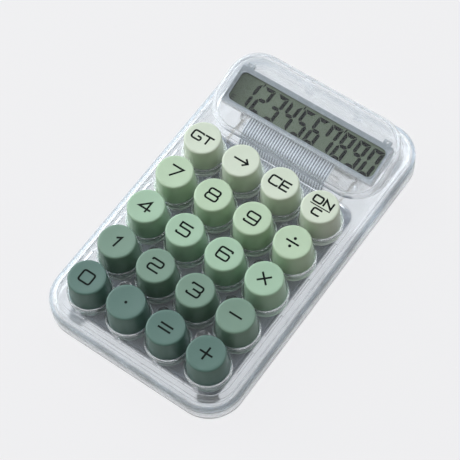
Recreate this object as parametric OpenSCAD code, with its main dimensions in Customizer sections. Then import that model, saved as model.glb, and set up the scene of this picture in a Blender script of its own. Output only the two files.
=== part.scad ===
// Desk calculator: clear two-part case, twenty round keys, tilted display over a cell bay.
// Origin: middle of the footprint, on the table. +X right, +Y to the display end, +Z up.

/* [Case] */
// Overall width of the case
case_w = 80; // [80:0.5:100]
// Overall length of the case, front to back
case_l = 133; // [133:0.5:165]
// Plan radius of the case's corners
corner_r = 13.5; // [12:0.5:15]
// Thickness of the shells' side walls and floor
wall = 1.8; // [1.5:0.1:2.2]
// Height of the flat deck above the table
deck_z = 15; // [15:0.5:18]
// Height of the joint line between the two shells
seam_z = 10.5; // [9.5:0.1:11]
// Rounding of the deck's outer edge
brow_r = 3; // [2:0.1:3.6]
// Rounding of the bottom shell's lower edge
belly_r = 5; // [3:0.5:5]
// How far the rubber feet stand below the bottom shell
foot_rise = 1.2; // [0.8:0.1:2]
// Radius of a rubber foot
foot_r = 3.8; // [3:0.1:3.8]

/* [Keys] */
// Spacing of the keys, the same both ways
key_pitch = 17; // [16.5:0.1:17]
// Radius of a keycap at its top face
key_top_r = 6.9; // [5.7:0.1:7]
// Radius of a keycap where it enters its collar
key_base_r = 7.4; // [6.1:0.1:7.4]
// Height of the keycap tops above the collars
key_rise = 9.5; // [7:0.5:12]
// How far a key goes down
key_travel = 2.2; // [1.5:0.1:2.6]
// Depth of the shallow dish in a keycap's top face
key_dish = 0.2; // [0:0.05:0.4]
// Radial gap between a keycap and its collar
key_gap = 0.35; // [0.2:0.05:0.4]
// Height of the collars above the deck
collar_rise = 1.5; // [1:0.1:2.5]
// Wall of a collar
collar_wall = 0.65; // [0.5:0.05:0.7]
// Distance from the front edge of the case to the front row's centres
front_margin = 14.8; // [14.5:0.1:18]

/* [Display] */
// Width of the raised display island
island_w = 73.6; // [70:0.2:74]
// Length of the island along its slope
island_l = 32.8; // [28:0.2:33]
// Corner radius of the island
island_r = 12.5; // [8:0.5:13]
// Tilt of the display
display_tilt = 17.3; // [14:0.1:18]
// Height of the middle of the display above the deck
display_rise = 6.7; // [6.5:0.1:8]
// Distance from the middle of the display to the back of the case
display_to_back = 22.4; // [22:0.1:24]
// Width of the display frame
lcd_frame_w = 66; // [55:0.5:68]
// Height of the display frame, along the slope
lcd_frame_l = 15.7; // [15:0.1:18]
// Width of the window in the display frame
lcd_window_w = 63.4; // [45:0.2:64]
// Height of the window in the display frame
lcd_window_l = 12; // [9:0.2:12.4]
// Thickness of one glass plate of the display cell
lcd_plate_t = 1; // [0.7:0.1:1.1]
// Width of the heat-seal ribbon
ribbon_w = 37.4; // [30:0.2:44]

/* [Power] */
// Diameter of the cylindrical cell
cell_d = 10.5; // [8.3:0.1:10.5]
// Length of the cell with its button
cell_l = 44.5; // [40:0.5:44.5]
// Length of the compressed contact spring
spring_l = 4; // [3:0.5:5]

/* [Board] */
// Thickness of the circuit board
pcb_t = 1.2; // [0.8:0.1:1.6]
// Height of the board's underside above the table
pcb_z = 5.6; // [5.4:0.1:6]
// Thickness of the rubber dome sheet
mat_t = 0.8; // [0.6:0.1:1.2]

/* [Hidden] */
$fn = 64;
eps = 0.01;
cut = 1;
key_cols = 4;
key_rows = 5;
KEY_NODES = [
    "key_gt", "key_back", "key_ce", "key_on_c",
    "key_7", "key_8", "key_9", "key_divide",
    "key_4", "key_5", "key_6", "key_multiply",
    "key_1", "key_2", "key_3", "key_minus",
    "key_0", "key_point", "key_equals", "key_plus"
];
ROW_COLOURS = ["#d6e4d2", "#b9d6bb", "#a9cbb1", "#7f9b8d", "#668179"];

// case, worked out from the driving sizes
floor_z = foot_rise;
inner_floor_z = floor_z + wall;
lip_t = 0.9;
lip_h = 1.3;
lip_foot_h = 2.4;
lip_gap = 0.15;

// key field: a shallow sunken panel around the collars
field_drop = 0.8;
field_t = 1.4;
field_z = deck_z - field_drop;
field_under_z = field_z - field_t;
field_margin = 10.4;
field_end_trim = 0.8;
field_corner_r = 9;
keys_y = -case_l / 2 + front_margin + (key_rows - 1) / 2 * key_pitch;
field_w = (key_cols - 1) * key_pitch + 2 * field_margin;
field_l = (key_rows - 1) * key_pitch + 2 * field_margin - field_end_trim;
collar_z = deck_z + collar_rise;
collar_bore_r = key_base_r + key_gap;
collar_r = collar_bore_r + collar_wall;
slot_l = 9.6;
slot_w = 0.9;
slot_inset = 0.75;
slot_floor = 0.5;
tie_w = 1.2;
tie_drop = 0.8;

// keycaps
key_top_z = collar_z + key_rise;
key_edge_r = 0.7;
key_crown_t = 1.4;
key_skirt_t = 1.2;
dish_r = key_top_r - key_edge_r;
dish_ball_r = (dish_r * dish_r + key_dish * key_dish) / (2 * max(key_dish, eps));
flange_reach = 0.8;
flange_t = 1;
flange_gap = 0.1;
flange_top_z = field_under_z - flange_gap;
key_bottom_z = flange_top_z - flange_t;
plunger_r = 2.4;
guide_w = 1.6;
guide_gap = 0.3;
guide_reach = 0.7;
guide_bottom_z = key_bottom_z - key_travel + 0.2;

// board, dome sheet and their screws
pcb_top_z = pcb_z + pcb_t;
pcb_side_inset = 4;
pcb_half_w = field_w / 2 - pcb_side_inset;
pcb_corner_r = 4;
pcb_front_margin = 6.6;
pcb_to_display = 14.4;
pcb_front = keys_y - (key_rows - 1) / 2 * key_pitch - pcb_front_margin;
pcb_back = case_l / 2 - display_to_back - pcb_to_display;
mat_inset = 0.8;
mat_to_pcb_back = 8.5;
mat_half_w = pcb_half_w - mat_inset;
mat_back = pcb_back - mat_to_pcb_back;
dome_r = 4.4;
dome_web = 0.5;
dome_shoulder = 0.8;
dome_rest_gap = 0.65;
pad_r = 2.4;
pad_gap = 0.05;
pill_r = 1.6;
pill_t = 0.4;
dome_top_z = pcb_top_z + mat_t + key_travel + dome_rest_gap;
chip_r = 5.5;
chip_h = 1.5;
capacitor_size = [2, 1.25, 0.9];
capacitor_x = 3;
capacitor_to_back = 9;
case_post_r = 3.1;
case_boss_r = 2.6;
pcb_boss_r = 2.2;
post_drop = 0.3;
post_top_z = pcb_top_z - post_drop;
screw_r = 1;
screw_gap = 0.05;
screw_head_r = 2;
screw_head_h = 1.4;
well_roof_t = 2.5;
pcb_screw_r = 0.9;
pcb_head_r = 1.7;
pcb_head_h = 1.2;
boss_hole_gap = 0.4;
pcb_screw_reach = 4.2;
pcb_screw_top_z = pcb_top_z + pcb_screw_reach;
CASE_SCREWS = [for (x = [-1, 1], y = [-1.5, 1.5]) [x * key_pitch, keys_y + y * key_pitch]];
PCB_SCREWS = concat(
    [for (y = [-1.5, 1.5]) [0, keys_y + y * key_pitch]],
    [for (x = [-1, 1], y = [-0.5, 0.5]) [x * key_pitch, keys_y + y * key_pitch]]
);

// display, in its own tilted frame: origin on the outside of the slope, z outwards
display_y = case_l / 2 - display_to_back;
display_z = deck_z + display_rise;
island_depth = 24;
island_edge_r = 1.6;
island_top_t = 1.4;
lcd_shift = 0.3;
lcd_seat_gap = 0.15;
lcd_top = -island_top_t - lcd_seat_gap;
lcd_frame_t = 4;
lcd_lip_t = 1;
lcd_rim = 0.6;
lcd_fit = 0.1;
lcd_window_r = 2.2;
lcd_ledge = 2.2;
lcd_plate_w = lcd_frame_w - 2 * lcd_rim - 2 * lcd_fit;
lcd_plate_l = lcd_frame_l - 2 * lcd_rim - 2 * lcd_fit;
lcd_plate_top = lcd_top - lcd_lip_t;
reflector_t = 0.4;
reflector_inset = 0.3;
ear_w = 3.2;
ear_l = 1.7;
ear_t = 0.8;
ear_inset = 3;
ear_pin_r = 0.5;
ear_pin_gap = 0.1;
ribbon_t = 0.24;
ribbon_x = -1.2;
ribbon_gap = 0.6;
ribbon_bond_l = 2.6;
ribbon_foot_inset = 1.8;
bow_over = [0.75, 0.95];
bow_under = [-1.95, -2.2];

// cell bay under the display
cell_behind_display = 1.95;
cell_y = display_y + cell_behind_display;
cover_t = 1.4;
cell_rest_gap = 0.35;
cell_z = floor_z + cover_t + cell_rest_gap + cell_d / 2;
cell_button_r = 1.9;
cell_button_l = 1;
cell_edge = 0.5;
bay_gap = 0.35;
bay_r = cell_d / 2 + bay_gap;
bay_wall = 1.1;
contact_t = 0.4;
contact_inset = 1.33;
contact_half = cell_d / 2 - contact_inset;
pip_h = 0.5;
bay_half = (cell_l + spring_l + pip_h + 2 * contact_t) / 2;
cell_x0 = -bay_half + contact_t + spring_l;
cover_gap = 0.2;
cover_seat_gap = 0.1;
cover_end_lap = 2;
cover_side_lap = 1.6;
cover_half_w = bay_half + cover_end_lap;
cover_half_l = bay_r + cover_side_lap;
ledge_t = 1.2;
ledge_top_z = floor_z + cover_t + cover_seat_gap + ledge_t;
tongue_w = 8;
tongue_x = 14;
tongue_t = 0.8;
tongue_reach = 1.5;
tongue_slot_gap = 0.3;
tongue_z = inner_floor_z + 0.1;
tongue_root = 1;
tongue_room = 1.2;
latch_w = 10;
latch_t = 0.6;
latch_l = 0.7;
latch_inset = 0.1;
latch_cut_w = 0.6;
latch_cut_l = 5;
grip_w = 12;
grip_pitch = 1.8;
grip_groove = 0.7;
grip_depth = 0.4;
grips = 3;
strip_h = 2.4;
strip_gap = 0.3;
strip_foot = 1.4;
plus_pip_r = 1.6;

// fastening details on the walls
hook_x = 10.9;
hook_w = 3;
hook_t = 1.1;
hook_gap = 0.2;
hook_drop = 2;
rib_w = 0.5;
rib_pitch = 1.15;
rib_depth = 0.5;
ribs_per_group = 9;
RIBS_ALONG_SIDE = [-45, -3.5, 39];
RIBS_ALONG_END = [-22, 20];
foot_side_inset = 11.7;
foot_end_inset = 9.5;
foot_x = case_w / 2 - foot_side_inset;
foot_y = case_l / 2 - foot_end_inset;
foot_seat = 0.4;
foot_edge_r = 0.5;
thumb_r = 6;
thumb_depth = 0.7;

// ---------- shapes that repeat ----------

module plan(w, l, r) {
    square([w - 2 * r, l], center = true);
    square([w, l - 2 * r], center = true);
    for (x = [-1, 1], y = [-1, 1])
        translate([x * (w / 2 - r), y * (l / 2 - r)]) circle(r);
}

// half of a slab's edge: straight outside, rounded below by rb and above by rt
module edge_profile(r, h, rb, rt) {
    translate([0, rb]) square([r, h - rb - rt]);
    square([r - rb, rb + eps]);
    translate([0, h - rt - eps]) square([r - rt, rt + eps]);
    if (rb > 0) intersection() {
        translate([r - rb, rb]) circle(rb);
        square([r, rb + eps]);
    }
    if (rt > 0) intersection() {
        translate([r - rt, h - rt]) circle(rt);
        translate([0, h - rt - eps]) square([r, rt + eps]);
    }
}

module full_profile(w, h, rb, rt) {
    edge_profile(w / 2, h, rb, rt);
    mirror([1, 0]) edge_profile(w / 2, h, rb, rt);
}

// slab with plan corners of radius r and edges rounded by rb below and rt above
module soft_slab(w, l, r, h, rb, rt) {
    translate([0, l / 2 - r, 0]) rotate([90, 0, 0])
        linear_extrude(l - 2 * r) full_profile(w, h, rb, rt);
    translate([-w / 2 + r, 0, 0]) rotate([90, 0, 90])
        linear_extrude(w - 2 * r) full_profile(l, h, rb, rt);
    for (x = [0, 1], y = [0, 1])
        mirror([x, 0, 0]) mirror([0, y, 0])
            translate([w / 2 - r, l / 2 - r, 0])
                rotate_extrude(angle = 90) edge_profile(r, h, rb, rt);
}

module on_slope() {
    translate([0, display_y, display_z]) rotate([display_tilt, 0, 0]) children();
}

module box_between(a, b) {
    translate(a) cube(b - a);
}

module at_keys() {
    for (i = [0 : key_cols * key_rows - 1]) translate(key_at(i)) children();
}

module at_points(points) {
    for (p = points) translate([p[0], p[1], 0]) children();
}

module tube(r, z0, z1) {
    translate([0, 0, z0]) cylinder(r = r, h = z1 - z0);
}

function key_at(i) = [
    (i % key_cols - (key_cols - 1) / 2) * key_pitch,
    keys_y + ((key_rows - 1) / 2 - floor(i / key_cols)) * key_pitch,
    0
];

// a point of the tilted display frame, as [y, z] of the part
function slope_yz(ly, lz) = [
    display_y + ly * cos(display_tilt) - lz * sin(display_tilt),
    display_z + ly * sin(display_tilt) + lz * cos(display_tilt)
];

// ---------- shells ----------

module island(shrink, top, edge) {
    on_slope() translate([0, 0, -island_depth])
        soft_slab(island_w - 2 * shrink, island_l - 2 * shrink, island_r - shrink,
                  island_depth - top, 0, edge);
}

module above(z) {
    translate([-case_w, -case_l, z]) cube([2 * case_w, 2 * case_l, 2 * island_depth]);
}

module top_skin() {
    difference() {
        union() {
            translate([0, 0, seam_z])
                soft_slab(case_w, case_l, corner_r, deck_z - seam_z, 0, brow_r);
            intersection() {
                island(0, 0, island_edge_r);
                above(deck_z - wall / 2);
            }
        }
        translate([0, 0, seam_z - cut])
            soft_slab(case_w - 2 * wall, case_l - 2 * wall, corner_r - wall,
                      deck_z - wall - seam_z + cut, 0, max(brow_r - wall, 0.2));
        intersection() {
            island(wall, island_top_t, 0.4);
            above(deck_z - wall - 0.5);
        }
    }
}

module field_slots() {
    xs = field_w / 2 - slot_inset;
    ys = keys_y - field_l / 2 + slot_inset;
    groove_h = field_t - slot_floor + cut;
    for (i = [1 : key_cols - 1])
        translate([(i - key_cols / 2) * key_pitch - slot_l / 2, ys - slot_w / 2, field_z - groove_h + cut])
            cube([slot_l, slot_w, groove_h]);
    for (side = [-1, 1], i = [1 : key_rows - 1])
        translate([side * xs - slot_w / 2, keys_y + (i - key_rows / 2) * key_pitch - slot_l / 2,
                   field_z - groove_h + cut])
            cube([slot_w, slot_l, groove_h]);
}

module top_case() {
    color("#dfe5ec", 0.45) union() {
        difference() {
            union() {
                top_skin();
                translate([0, keys_y, field_under_z])
                    linear_extrude(deck_z - wall - field_under_z + 0.3)
                        plan(field_w + 2 * field_t, field_l + 2 * field_t, field_corner_r + field_t);
                at_keys() tube(collar_r, field_under_z, deck_z);
            }
            translate([0, keys_y, field_z])
                linear_extrude(deck_z - field_z + cut) plan(field_w, field_l, field_corner_r);
            field_slots();
            at_keys() tube(collar_bore_r, field_under_z - cut, deck_z + cut);
        }
        difference() {
            union() {
                at_keys() collar_ring();
                for (r = [0 : key_rows - 1]) translate([0, key_at(r * key_cols)[1], 0])
                    collar_tie(key_cols);
                for (c = [0 : key_cols - 1]) translate([key_at(c)[0], keys_y, 0])
                    rotate([0, 0, 90]) collar_tie(key_rows);
            }
            at_keys() tube(collar_bore_r, field_under_z - cut, collar_z + cut);
        }
        key_guides();
        top_bosses();
        back_hooks();
        frame_pins();
    }
}

// collar above the sunken panel, with a rounded lip
module collar_ring() {
    lip = collar_wall / 2;
    translate([0, 0, field_z - eps]) rotate_extrude() {
        translate([collar_bore_r, 0]) square([collar_wall, collar_z - lip - field_z + eps]);
        translate([collar_bore_r + lip, collar_z - lip - field_z + eps]) circle(lip);
    }
}

// low rib that ties a row or column of collars together
module collar_tie(count) {
    translate([-(count - 1) / 2 * key_pitch, -tie_w / 2, field_z - eps])
        cube([(count - 1) * key_pitch, tie_w, collar_z - field_z - tie_drop]);
}

// a rib beside each collar stops its key from turning
module key_guides() {
    at_keys()
        translate([-guide_w / 2, -collar_bore_r - guide_reach, guide_bottom_z])
            cube([guide_w, guide_reach, field_under_z - guide_bottom_z + eps]);
}

module top_bosses() {
    top = field_under_z + eps;
    difference() {
        at_points(CASE_SCREWS) tube(case_boss_r, post_top_z + 0.1, top);
        at_points(CASE_SCREWS) tube(screw_r + screw_gap, post_top_z - cut, top - 1);
    }
    difference() {
        at_points(PCB_SCREWS) tube(pcb_boss_r, pcb_top_z, top);
        at_points(PCB_SCREWS) tube(pcb_screw_r + screw_gap, pcb_top_z - cut, top - 1);
    }
}

// two upright snap hooks behind the display
module back_hooks() {
    yi = case_l / 2 - wall;
    yh = yi - lip_t - lip_gap - hook_gap;
    for (side = [-1, 1]) translate([side * hook_x - hook_w / 2, 0, 0]) {
        box_between([0, yh - hook_t, seam_z - hook_drop], [hook_w, yh, deck_z - wall + eps]);
        box_between([0, yh - hook_gap / 2, seam_z + lip_h + hook_gap + hook_gap / 2],
                    [hook_w, yi + eps, deck_z - wall + eps]);
    }
}

module at_ears() {
    for (side = [-1, 1])
        translate([side * (lcd_frame_w / 2 - ear_inset), lcd_shift + lcd_frame_l / 2, 0]) children();
}

// pins that locate the display frame's ears
module frame_pins() {
    on_slope() at_ears() translate([0, ear_l / 2, lcd_top - ear_t - 0.3])
        cylinder(r = ear_pin_r, h = -island_top_t - lcd_top + ear_t + 0.3 + eps);
}

module bottom_case() {
    color("#dfe5ec", 0.45) difference() {
        union() {
            difference() {
                translate([0, 0, floor_z])
                    soft_slab(case_w, case_l, corner_r, seam_z - floor_z, belly_r, 0);
                translate([0, 0, inner_floor_z])
                    soft_slab(case_w - 2 * wall, case_l - 2 * wall, corner_r - wall,
                              seam_z - inner_floor_z + cut, belly_r - wall, 0);
            }
            seam_lip();
            wall_ribs();
            at_points(CASE_SCREWS) tube(case_post_r, inner_floor_z - eps, post_top_z);
            bay_shell();
        }
        bay_hollow();
        at_points(CASE_SCREWS) tube(screw_r + screw_gap, floor_z, post_top_z + cut);
        at_points(CASE_SCREWS)
            tube(screw_head_r + 0.3, floor_z - cut, post_top_z - well_roof_t);
        for (x = [-1, 1], y = [-1, 1])
            translate([x * foot_x, y * foot_y, 0])
                tube(foot_r + 0.1, floor_z - cut, floor_z + foot_seat);
        translate([0, cell_y + cover_half_l + cover_gap, 0])
            tube(thumb_r, floor_z - cut, floor_z + thumb_depth);
    }
}

// tongue that keeps the two shells' edges in line
module seam_lip() {
    w = case_w - 2 * wall - 2 * lip_gap;
    l = case_l - 2 * wall - 2 * lip_gap;
    r = corner_r - wall - lip_gap;
    difference() {
        translate([0, 0, seam_z - lip_foot_h])
            linear_extrude(lip_foot_h + lip_h) plan(w, l, r);
        translate([0, 0, seam_z - lip_foot_h - cut])
            linear_extrude(lip_foot_h + lip_h + 2 * cut) plan(w - 2 * lip_t, l - 2 * lip_t, r - lip_t);
    }
    difference() {
        translate([0, 0, seam_z - lip_foot_h])
            linear_extrude(lip_foot_h) plan(case_w - wall, case_l - wall, corner_r - wall / 2);
        translate([0, 0, seam_z - lip_foot_h - cut])
            linear_extrude(lip_foot_h + 2 * cut) plan(w - 2 * lip_t, l - 2 * lip_t, r - lip_t);
    }
}

// group of fine upright ribs on a wall, in the wall's own frame: x along it, y inwards
module rib_group() {
    for (i = [0 : ribs_per_group - 1])
        translate([(i - (ribs_per_group - 1) / 2) * rib_pitch - rib_w / 2, -eps, inner_floor_z])
            cube([rib_w, rib_depth + eps, seam_z - lip_foot_h - inner_floor_z + eps]);
}

module wall_ribs() {
    xi = case_w / 2 - wall;
    yi = case_l / 2 - wall;
    for (side = [-1, 1], y = RIBS_ALONG_SIDE)
        translate([side * xi, y, 0]) rotate([0, 0, side * 90]) rib_group();
    for (end = [-1, 1], x = RIBS_ALONG_END)
        translate([x, end * yi, 0]) rotate([0, 0, end > 0 ? 180 : 0]) rib_group();
}

module bay_shell() {
    span = bay_half + bay_wall;
    translate([-span, cell_y, cell_z]) rotate([0, 90, 0]) cylinder(r = bay_r + bay_wall, h = 2 * span);
    box_between([-span, cell_y - bay_r - bay_wall, inner_floor_z - eps],
                [span, cell_y + bay_r + bay_wall, cell_z]);
    box_between([-cover_half_w - cover_gap - bay_wall, cell_y - cover_half_l - cover_gap - bay_wall,
                 inner_floor_z - eps],
                [cover_half_w + cover_gap + bay_wall, cell_y + cover_half_l + cover_gap + bay_wall,
                 ledge_top_z]);
}

module bay_hollow() {
    translate([-bay_half, cell_y, cell_z]) rotate([0, 90, 0]) cylinder(r = bay_r, h = 2 * bay_half);
    box_between([-bay_half, cell_y - bay_r, floor_z - cut], [bay_half, cell_y + bay_r, cell_z]);
    box_between([-cover_half_w - cover_gap, cell_y - cover_half_l - cover_gap, floor_z - cut],
                [cover_half_w + cover_gap, cell_y + cover_half_l + cover_gap,
                 floor_z + cover_t + cover_seat_gap]);
    // slots for the cover's tongues and latch, and for the two contact strips
    for (side = [-1, 1]) {
        translate([side * tongue_x - tongue_w / 2 - tongue_slot_gap, 0, 0])
            box_between([0, cell_y - cover_half_l - cover_gap - bay_wall - cut, inner_floor_z],
                        [tongue_w + 2 * tongue_slot_gap, cell_y - bay_r + eps,
                         ledge_top_z + tongue_room]);
        translate([side * tongue_x - tongue_w / 2 - tongue_slot_gap, 0, 0])
            box_between([0, cell_y - cover_half_l - cover_gap, floor_z],
                        [tongue_w + 2 * tongue_slot_gap, cell_y - bay_r + eps, inner_floor_z + eps]);
        translate([(side > 0 ? bay_half - contact_t : -bay_half) - strip_gap, 0, 0])
            box_between([0, cell_y - bay_r - bay_wall - cut, pcb_top_z - strip_gap],
                        [contact_t + 2 * strip_gap, cell_y, pcb_top_z + strip_h + strip_gap]);
    }
    translate([-latch_w / 2 - tongue_slot_gap, 0, 0])
        box_between([0, cell_y + bay_r - eps, floor_z],
                    [latch_w + 2 * tongue_slot_gap, cell_y + cover_half_l + cover_gap, ledge_top_z - 0.2]);
}

module battery_cover() {
    plate_top = floor_z + cover_t;
    color("#e6ebf0", 0.5) difference() {
        union() {
            box_between([-cover_half_w, cell_y - cover_half_l, floor_z],
                        [cover_half_w, cell_y + cover_half_l, plate_top]);
            for (side = [-1, 1]) translate([side * tongue_x - tongue_w / 2, 0, 0]) {
                box_between([0, cell_y - cover_half_l, plate_top - eps],
                            [tongue_w, cell_y - cover_half_l + tongue_root, tongue_z + tongue_t]);
                box_between([0, cell_y - cover_half_l - tongue_reach, tongue_z],
                            [tongue_w, cell_y - cover_half_l + eps, tongue_z + tongue_t]);
            }
            box_between([-latch_w / 2, cell_y + cover_half_l - latch_inset - latch_l, plate_top - eps],
                        [latch_w / 2, cell_y + cover_half_l - latch_inset, plate_top + latch_t]);
        }
        // finger grooves and the saw cuts that free the latch
        for (i = [0 : grips - 1])
            translate([-grip_w / 2, cell_y + grip_pitch / 3 + i * grip_pitch, floor_z - cut])
                cube([grip_w, grip_groove, grip_depth + cut]);
        for (side = [-1, 1])
            translate([side * (latch_w / 2 + latch_cut_w) - latch_cut_w / 2,
                       cell_y + cover_half_l - latch_cut_l, floor_z - cut])
                cube([latch_cut_w, latch_cut_l + cut, cover_t + 2 * cut]);
    }
}

// ---------- display ----------

module lcd_frame() {
    color("#9aa0a4") on_slope() translate([0, lcd_shift, 0]) difference() {
        union() {
            translate([-lcd_frame_w / 2, -lcd_frame_l / 2, lcd_top - lcd_frame_t])
                cube([lcd_frame_w, lcd_frame_l, lcd_frame_t]);
            for (side = [-1, 1])
                translate([side * (lcd_frame_w / 2 - ear_inset) - ear_w / 2,
                           lcd_frame_l / 2 - eps, lcd_top - ear_t])
                    cube([ear_w, ear_l, ear_t]);
        }
        translate([0, 0, lcd_top - lcd_frame_t]) linear_extrude(lcd_frame_t + cut)
            plan(lcd_window_w, lcd_window_l, lcd_window_r);
        translate([-lcd_frame_w / 2 + lcd_rim, -lcd_frame_l / 2 + lcd_rim, lcd_top - lcd_frame_t - cut])
            cube([lcd_frame_w - 2 * lcd_rim, lcd_frame_l - 2 * lcd_rim, lcd_frame_t - lcd_lip_t + cut]);
        // the ribbon leaves under the front rim
        translate([ribbon_x - ribbon_w / 2 - ribbon_gap, -lcd_frame_l / 2 - cut,
                   lcd_top - lcd_frame_t - cut])
            cube([ribbon_w + 2 * ribbon_gap, lcd_rim + 2 * cut,
                  lcd_frame_t - lcd_lip_t - lcd_rim / 2 + cut]);
        for (side = [-1, 1])
            translate([side * (lcd_frame_w / 2 - ear_inset), lcd_frame_l / 2 + ear_l / 2, lcd_top - ear_t - cut])
                cylinder(r = ear_pin_r + ear_pin_gap, h = ear_t + 2 * cut);
    }
}

module lcd_glass() {
    color("#7b8674") on_slope() translate([0, lcd_shift, lcd_plate_top]) {
        translate([-lcd_plate_w / 2, -lcd_plate_l / 2, -lcd_plate_t])
            cube([lcd_plate_w, lcd_plate_l, lcd_plate_t]);
        translate([-lcd_plate_w / 2, -lcd_plate_l / 2 + lcd_ledge, -2 * lcd_plate_t])
            cube([lcd_plate_w, lcd_plate_l - lcd_ledge, lcd_plate_t + eps]);
    }
}

module lcd_reflector() {
    inset = reflector_inset;
    color("#b9bdb2") on_slope()
        translate([-lcd_plate_w / 2 + inset, lcd_shift - lcd_plate_l / 2 + lcd_ledge + inset,
                   lcd_plate_top - 2 * lcd_plate_t - reflector_t])
            cube([lcd_plate_w - 2 * inset, lcd_plate_l - lcd_ledge - 2 * inset, reflector_t]);
}

// the ribbon's line, as [y, z]: along the slope, over the island's foot, down to the board
bond_z = lcd_plate_top - lcd_plate_t - ribbon_t / 2;
ribbon_top = slope_yz(lcd_shift - lcd_plate_l / 2 + lcd_ledge - 0.3, bond_z);
ribbon_bend = slope_yz(-island_l / 2 + wall + lcd_ledge, bond_z);
ribbon_foot = [pcb_back - ribbon_foot_inset, pcb_top_z + ribbon_t / 2];
// edge of the opening between the island and the space under the deck
opening_ly = -island_l / 2 + wall;
opening_z = deck_z - wall;
opening_lz = (opening_z - display_z - opening_ly * sin(display_tilt)) / cos(display_tilt);
opening_edge = slope_yz(opening_ly, opening_lz);
RIBBON_BOW = [
    ribbon_bend,
    opening_edge + bow_over,
    opening_edge + bow_under,
    [opening_edge[0] + bow_under[0], ribbon_foot[1]],
    ribbon_foot
];
bow_steps = 12;

function bezier4(p, t) =
    pow(1 - t, 4) * p[0] + 4 * t * pow(1 - t, 3) * p[1] + 6 * t * t * pow(1 - t, 2) * p[2]
    + 4 * pow(t, 3) * (1 - t) * p[3] + pow(t, 4) * p[4];
RIBBON_LINE = concat(
    [ribbon_top],
    [for (i = [0 : bow_steps]) bezier4(RIBBON_BOW, i / bow_steps)],
    [ribbon_foot - [ribbon_bond_l, 0]]
);

// unit normal of a polyline at its i-th point
function line_normal(line, i) =
    let (a = line[max(i - 1, 0)], b = line[min(i + 1, len(line) - 1)], d = (b - a) / norm(b - a))
    [-d[1], d[0]];

module ribbon() {
    n = len(RIBBON_LINE);
    side_a = [for (i = [0 : n - 1]) RIBBON_LINE[i] + ribbon_t / 2 * line_normal(RIBBON_LINE, i)];
    side_b = [for (i = [n - 1 : -1 : 0]) RIBBON_LINE[i] - ribbon_t / 2 * line_normal(RIBBON_LINE, i)];
    color("#c9ced6", 0.6) translate([ribbon_x - ribbon_w / 2, 0, 0]) rotate([90, 0, 90])
        linear_extrude(ribbon_w) polygon(concat(side_a, side_b));
}

// ---------- board and rubber ----------

module board_plan(half_w, front, back, r) {
    translate([0, (front + back) / 2]) plan(2 * half_w, back - front, r);
}

module main_pcb() {
    color("#4d5a68") difference() {
        translate([0, 0, pcb_z]) linear_extrude(pcb_t)
            board_plan(pcb_half_w, pcb_front, pcb_back, pcb_corner_r);
        at_points(CASE_SCREWS) tube(case_post_r + boss_hole_gap, pcb_z - cut, pcb_top_z + cut);
        at_points(PCB_SCREWS) tube(pcb_screw_r + screw_gap, pcb_z - cut, pcb_top_z + cut);
    }
}

// a drop of resin over the bare chip, as a ball's cap
module driver_chip() {
    ball_r = (chip_r * chip_r + chip_h * chip_h) / (2 * chip_h);
    color("#1b1c1e") translate([key_pitch / 2, keys_y + key_pitch / 2, pcb_z - chip_h])
        rotate_extrude($fn = 160) intersection() {
            translate([0, ball_r]) circle(ball_r, $fn = 240);
            square([chip_r + cut, chip_h]);
        }
}

module capacitors() {
    for (side = [-1, 1])
        color("#b89b6a")
            translate([side * capacitor_x - capacitor_size[0] / 2, pcb_back - capacitor_to_back,
                       pcb_z - capacitor_size[2]])
                cube(capacitor_size);
}

module dome_mat() {
    base_top = pcb_top_z + mat_t;
    web = dome_web;
    shoulder_z = dome_top_z - dome_shoulder;
    pill_z = shoulder_z - web - pill_t;
    color("#8d949c", 0.8) difference() {
        union() {
            translate([0, 0, pcb_top_z]) linear_extrude(mat_t)
                board_plan(mat_half_w, pcb_front + mat_inset, mat_back, pcb_corner_r);
            at_keys() rotate_extrude() polygon([
                [0, base_top - eps], [dome_r, base_top - eps], [pad_r + web, shoulder_z],
                [pad_r, shoulder_z], [pad_r, dome_top_z], [0, dome_top_z]
            ]);
        }
        at_keys() rotate_extrude() polygon([
            [0, pcb_top_z - cut], [dome_r - web, pcb_top_z - cut], [dome_r - web, base_top],
            [pad_r, shoulder_z - web], [pill_r, shoulder_z - web],
            [pill_r, pill_z], [0, pill_z]
        ]);
        at_points(CASE_SCREWS) tube(case_post_r + boss_hole_gap, pcb_z, base_top + cut);
        at_points(PCB_SCREWS) tube(pcb_boss_r + boss_hole_gap, pcb_z, base_top + cut);
    }
}

// ---------- power ----------

module along_cell(x) {
    translate([x, cell_y, cell_z]) rotate([0, 90, 0]) children();
}

module battery() {
    body_l = cell_l - cell_button_l;
    edge = cell_edge;
    color("#4a6b58") along_cell(cell_x0) rotate_extrude() {
        polygon([
            [0, 0], [cell_d / 2 - edge, 0], [cell_d / 2, edge], [cell_d / 2, body_l - edge],
            [cell_d / 2 - edge, body_l], [cell_button_r, body_l], [cell_button_r, cell_l], [0, cell_l]
        ]);
    }
}

module contact_plate(x) {
    half = contact_half;
    box_between([x, cell_y - half, cell_z - half], [x + contact_t, cell_y + half, cell_z + half]);
    box_between([x, pcb_back - strip_foot, pcb_top_z],
                [x + contact_t, cell_y - half + eps, pcb_top_z + strip_h]);
}

wire_r = 0.25;
wire_sides = 8;
coil_turns = 3;
coil_steps = 20;
coil_foot_inset = 0.32;
coil_foot_r = contact_half - coil_foot_inset;
coil_tip_r = 2.2;
// points of a ring of the spring's wire at angle a, where the coil has radius r and height z
function coil_ring(a, r, z) = [
    for (k = [0 : wire_sides - 1])
        let (b = 360 * k / wire_sides, q = r + wire_r * cos(b))
        [q * cos(a), q * sin(a), z + wire_r * sin(b)]
];

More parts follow.
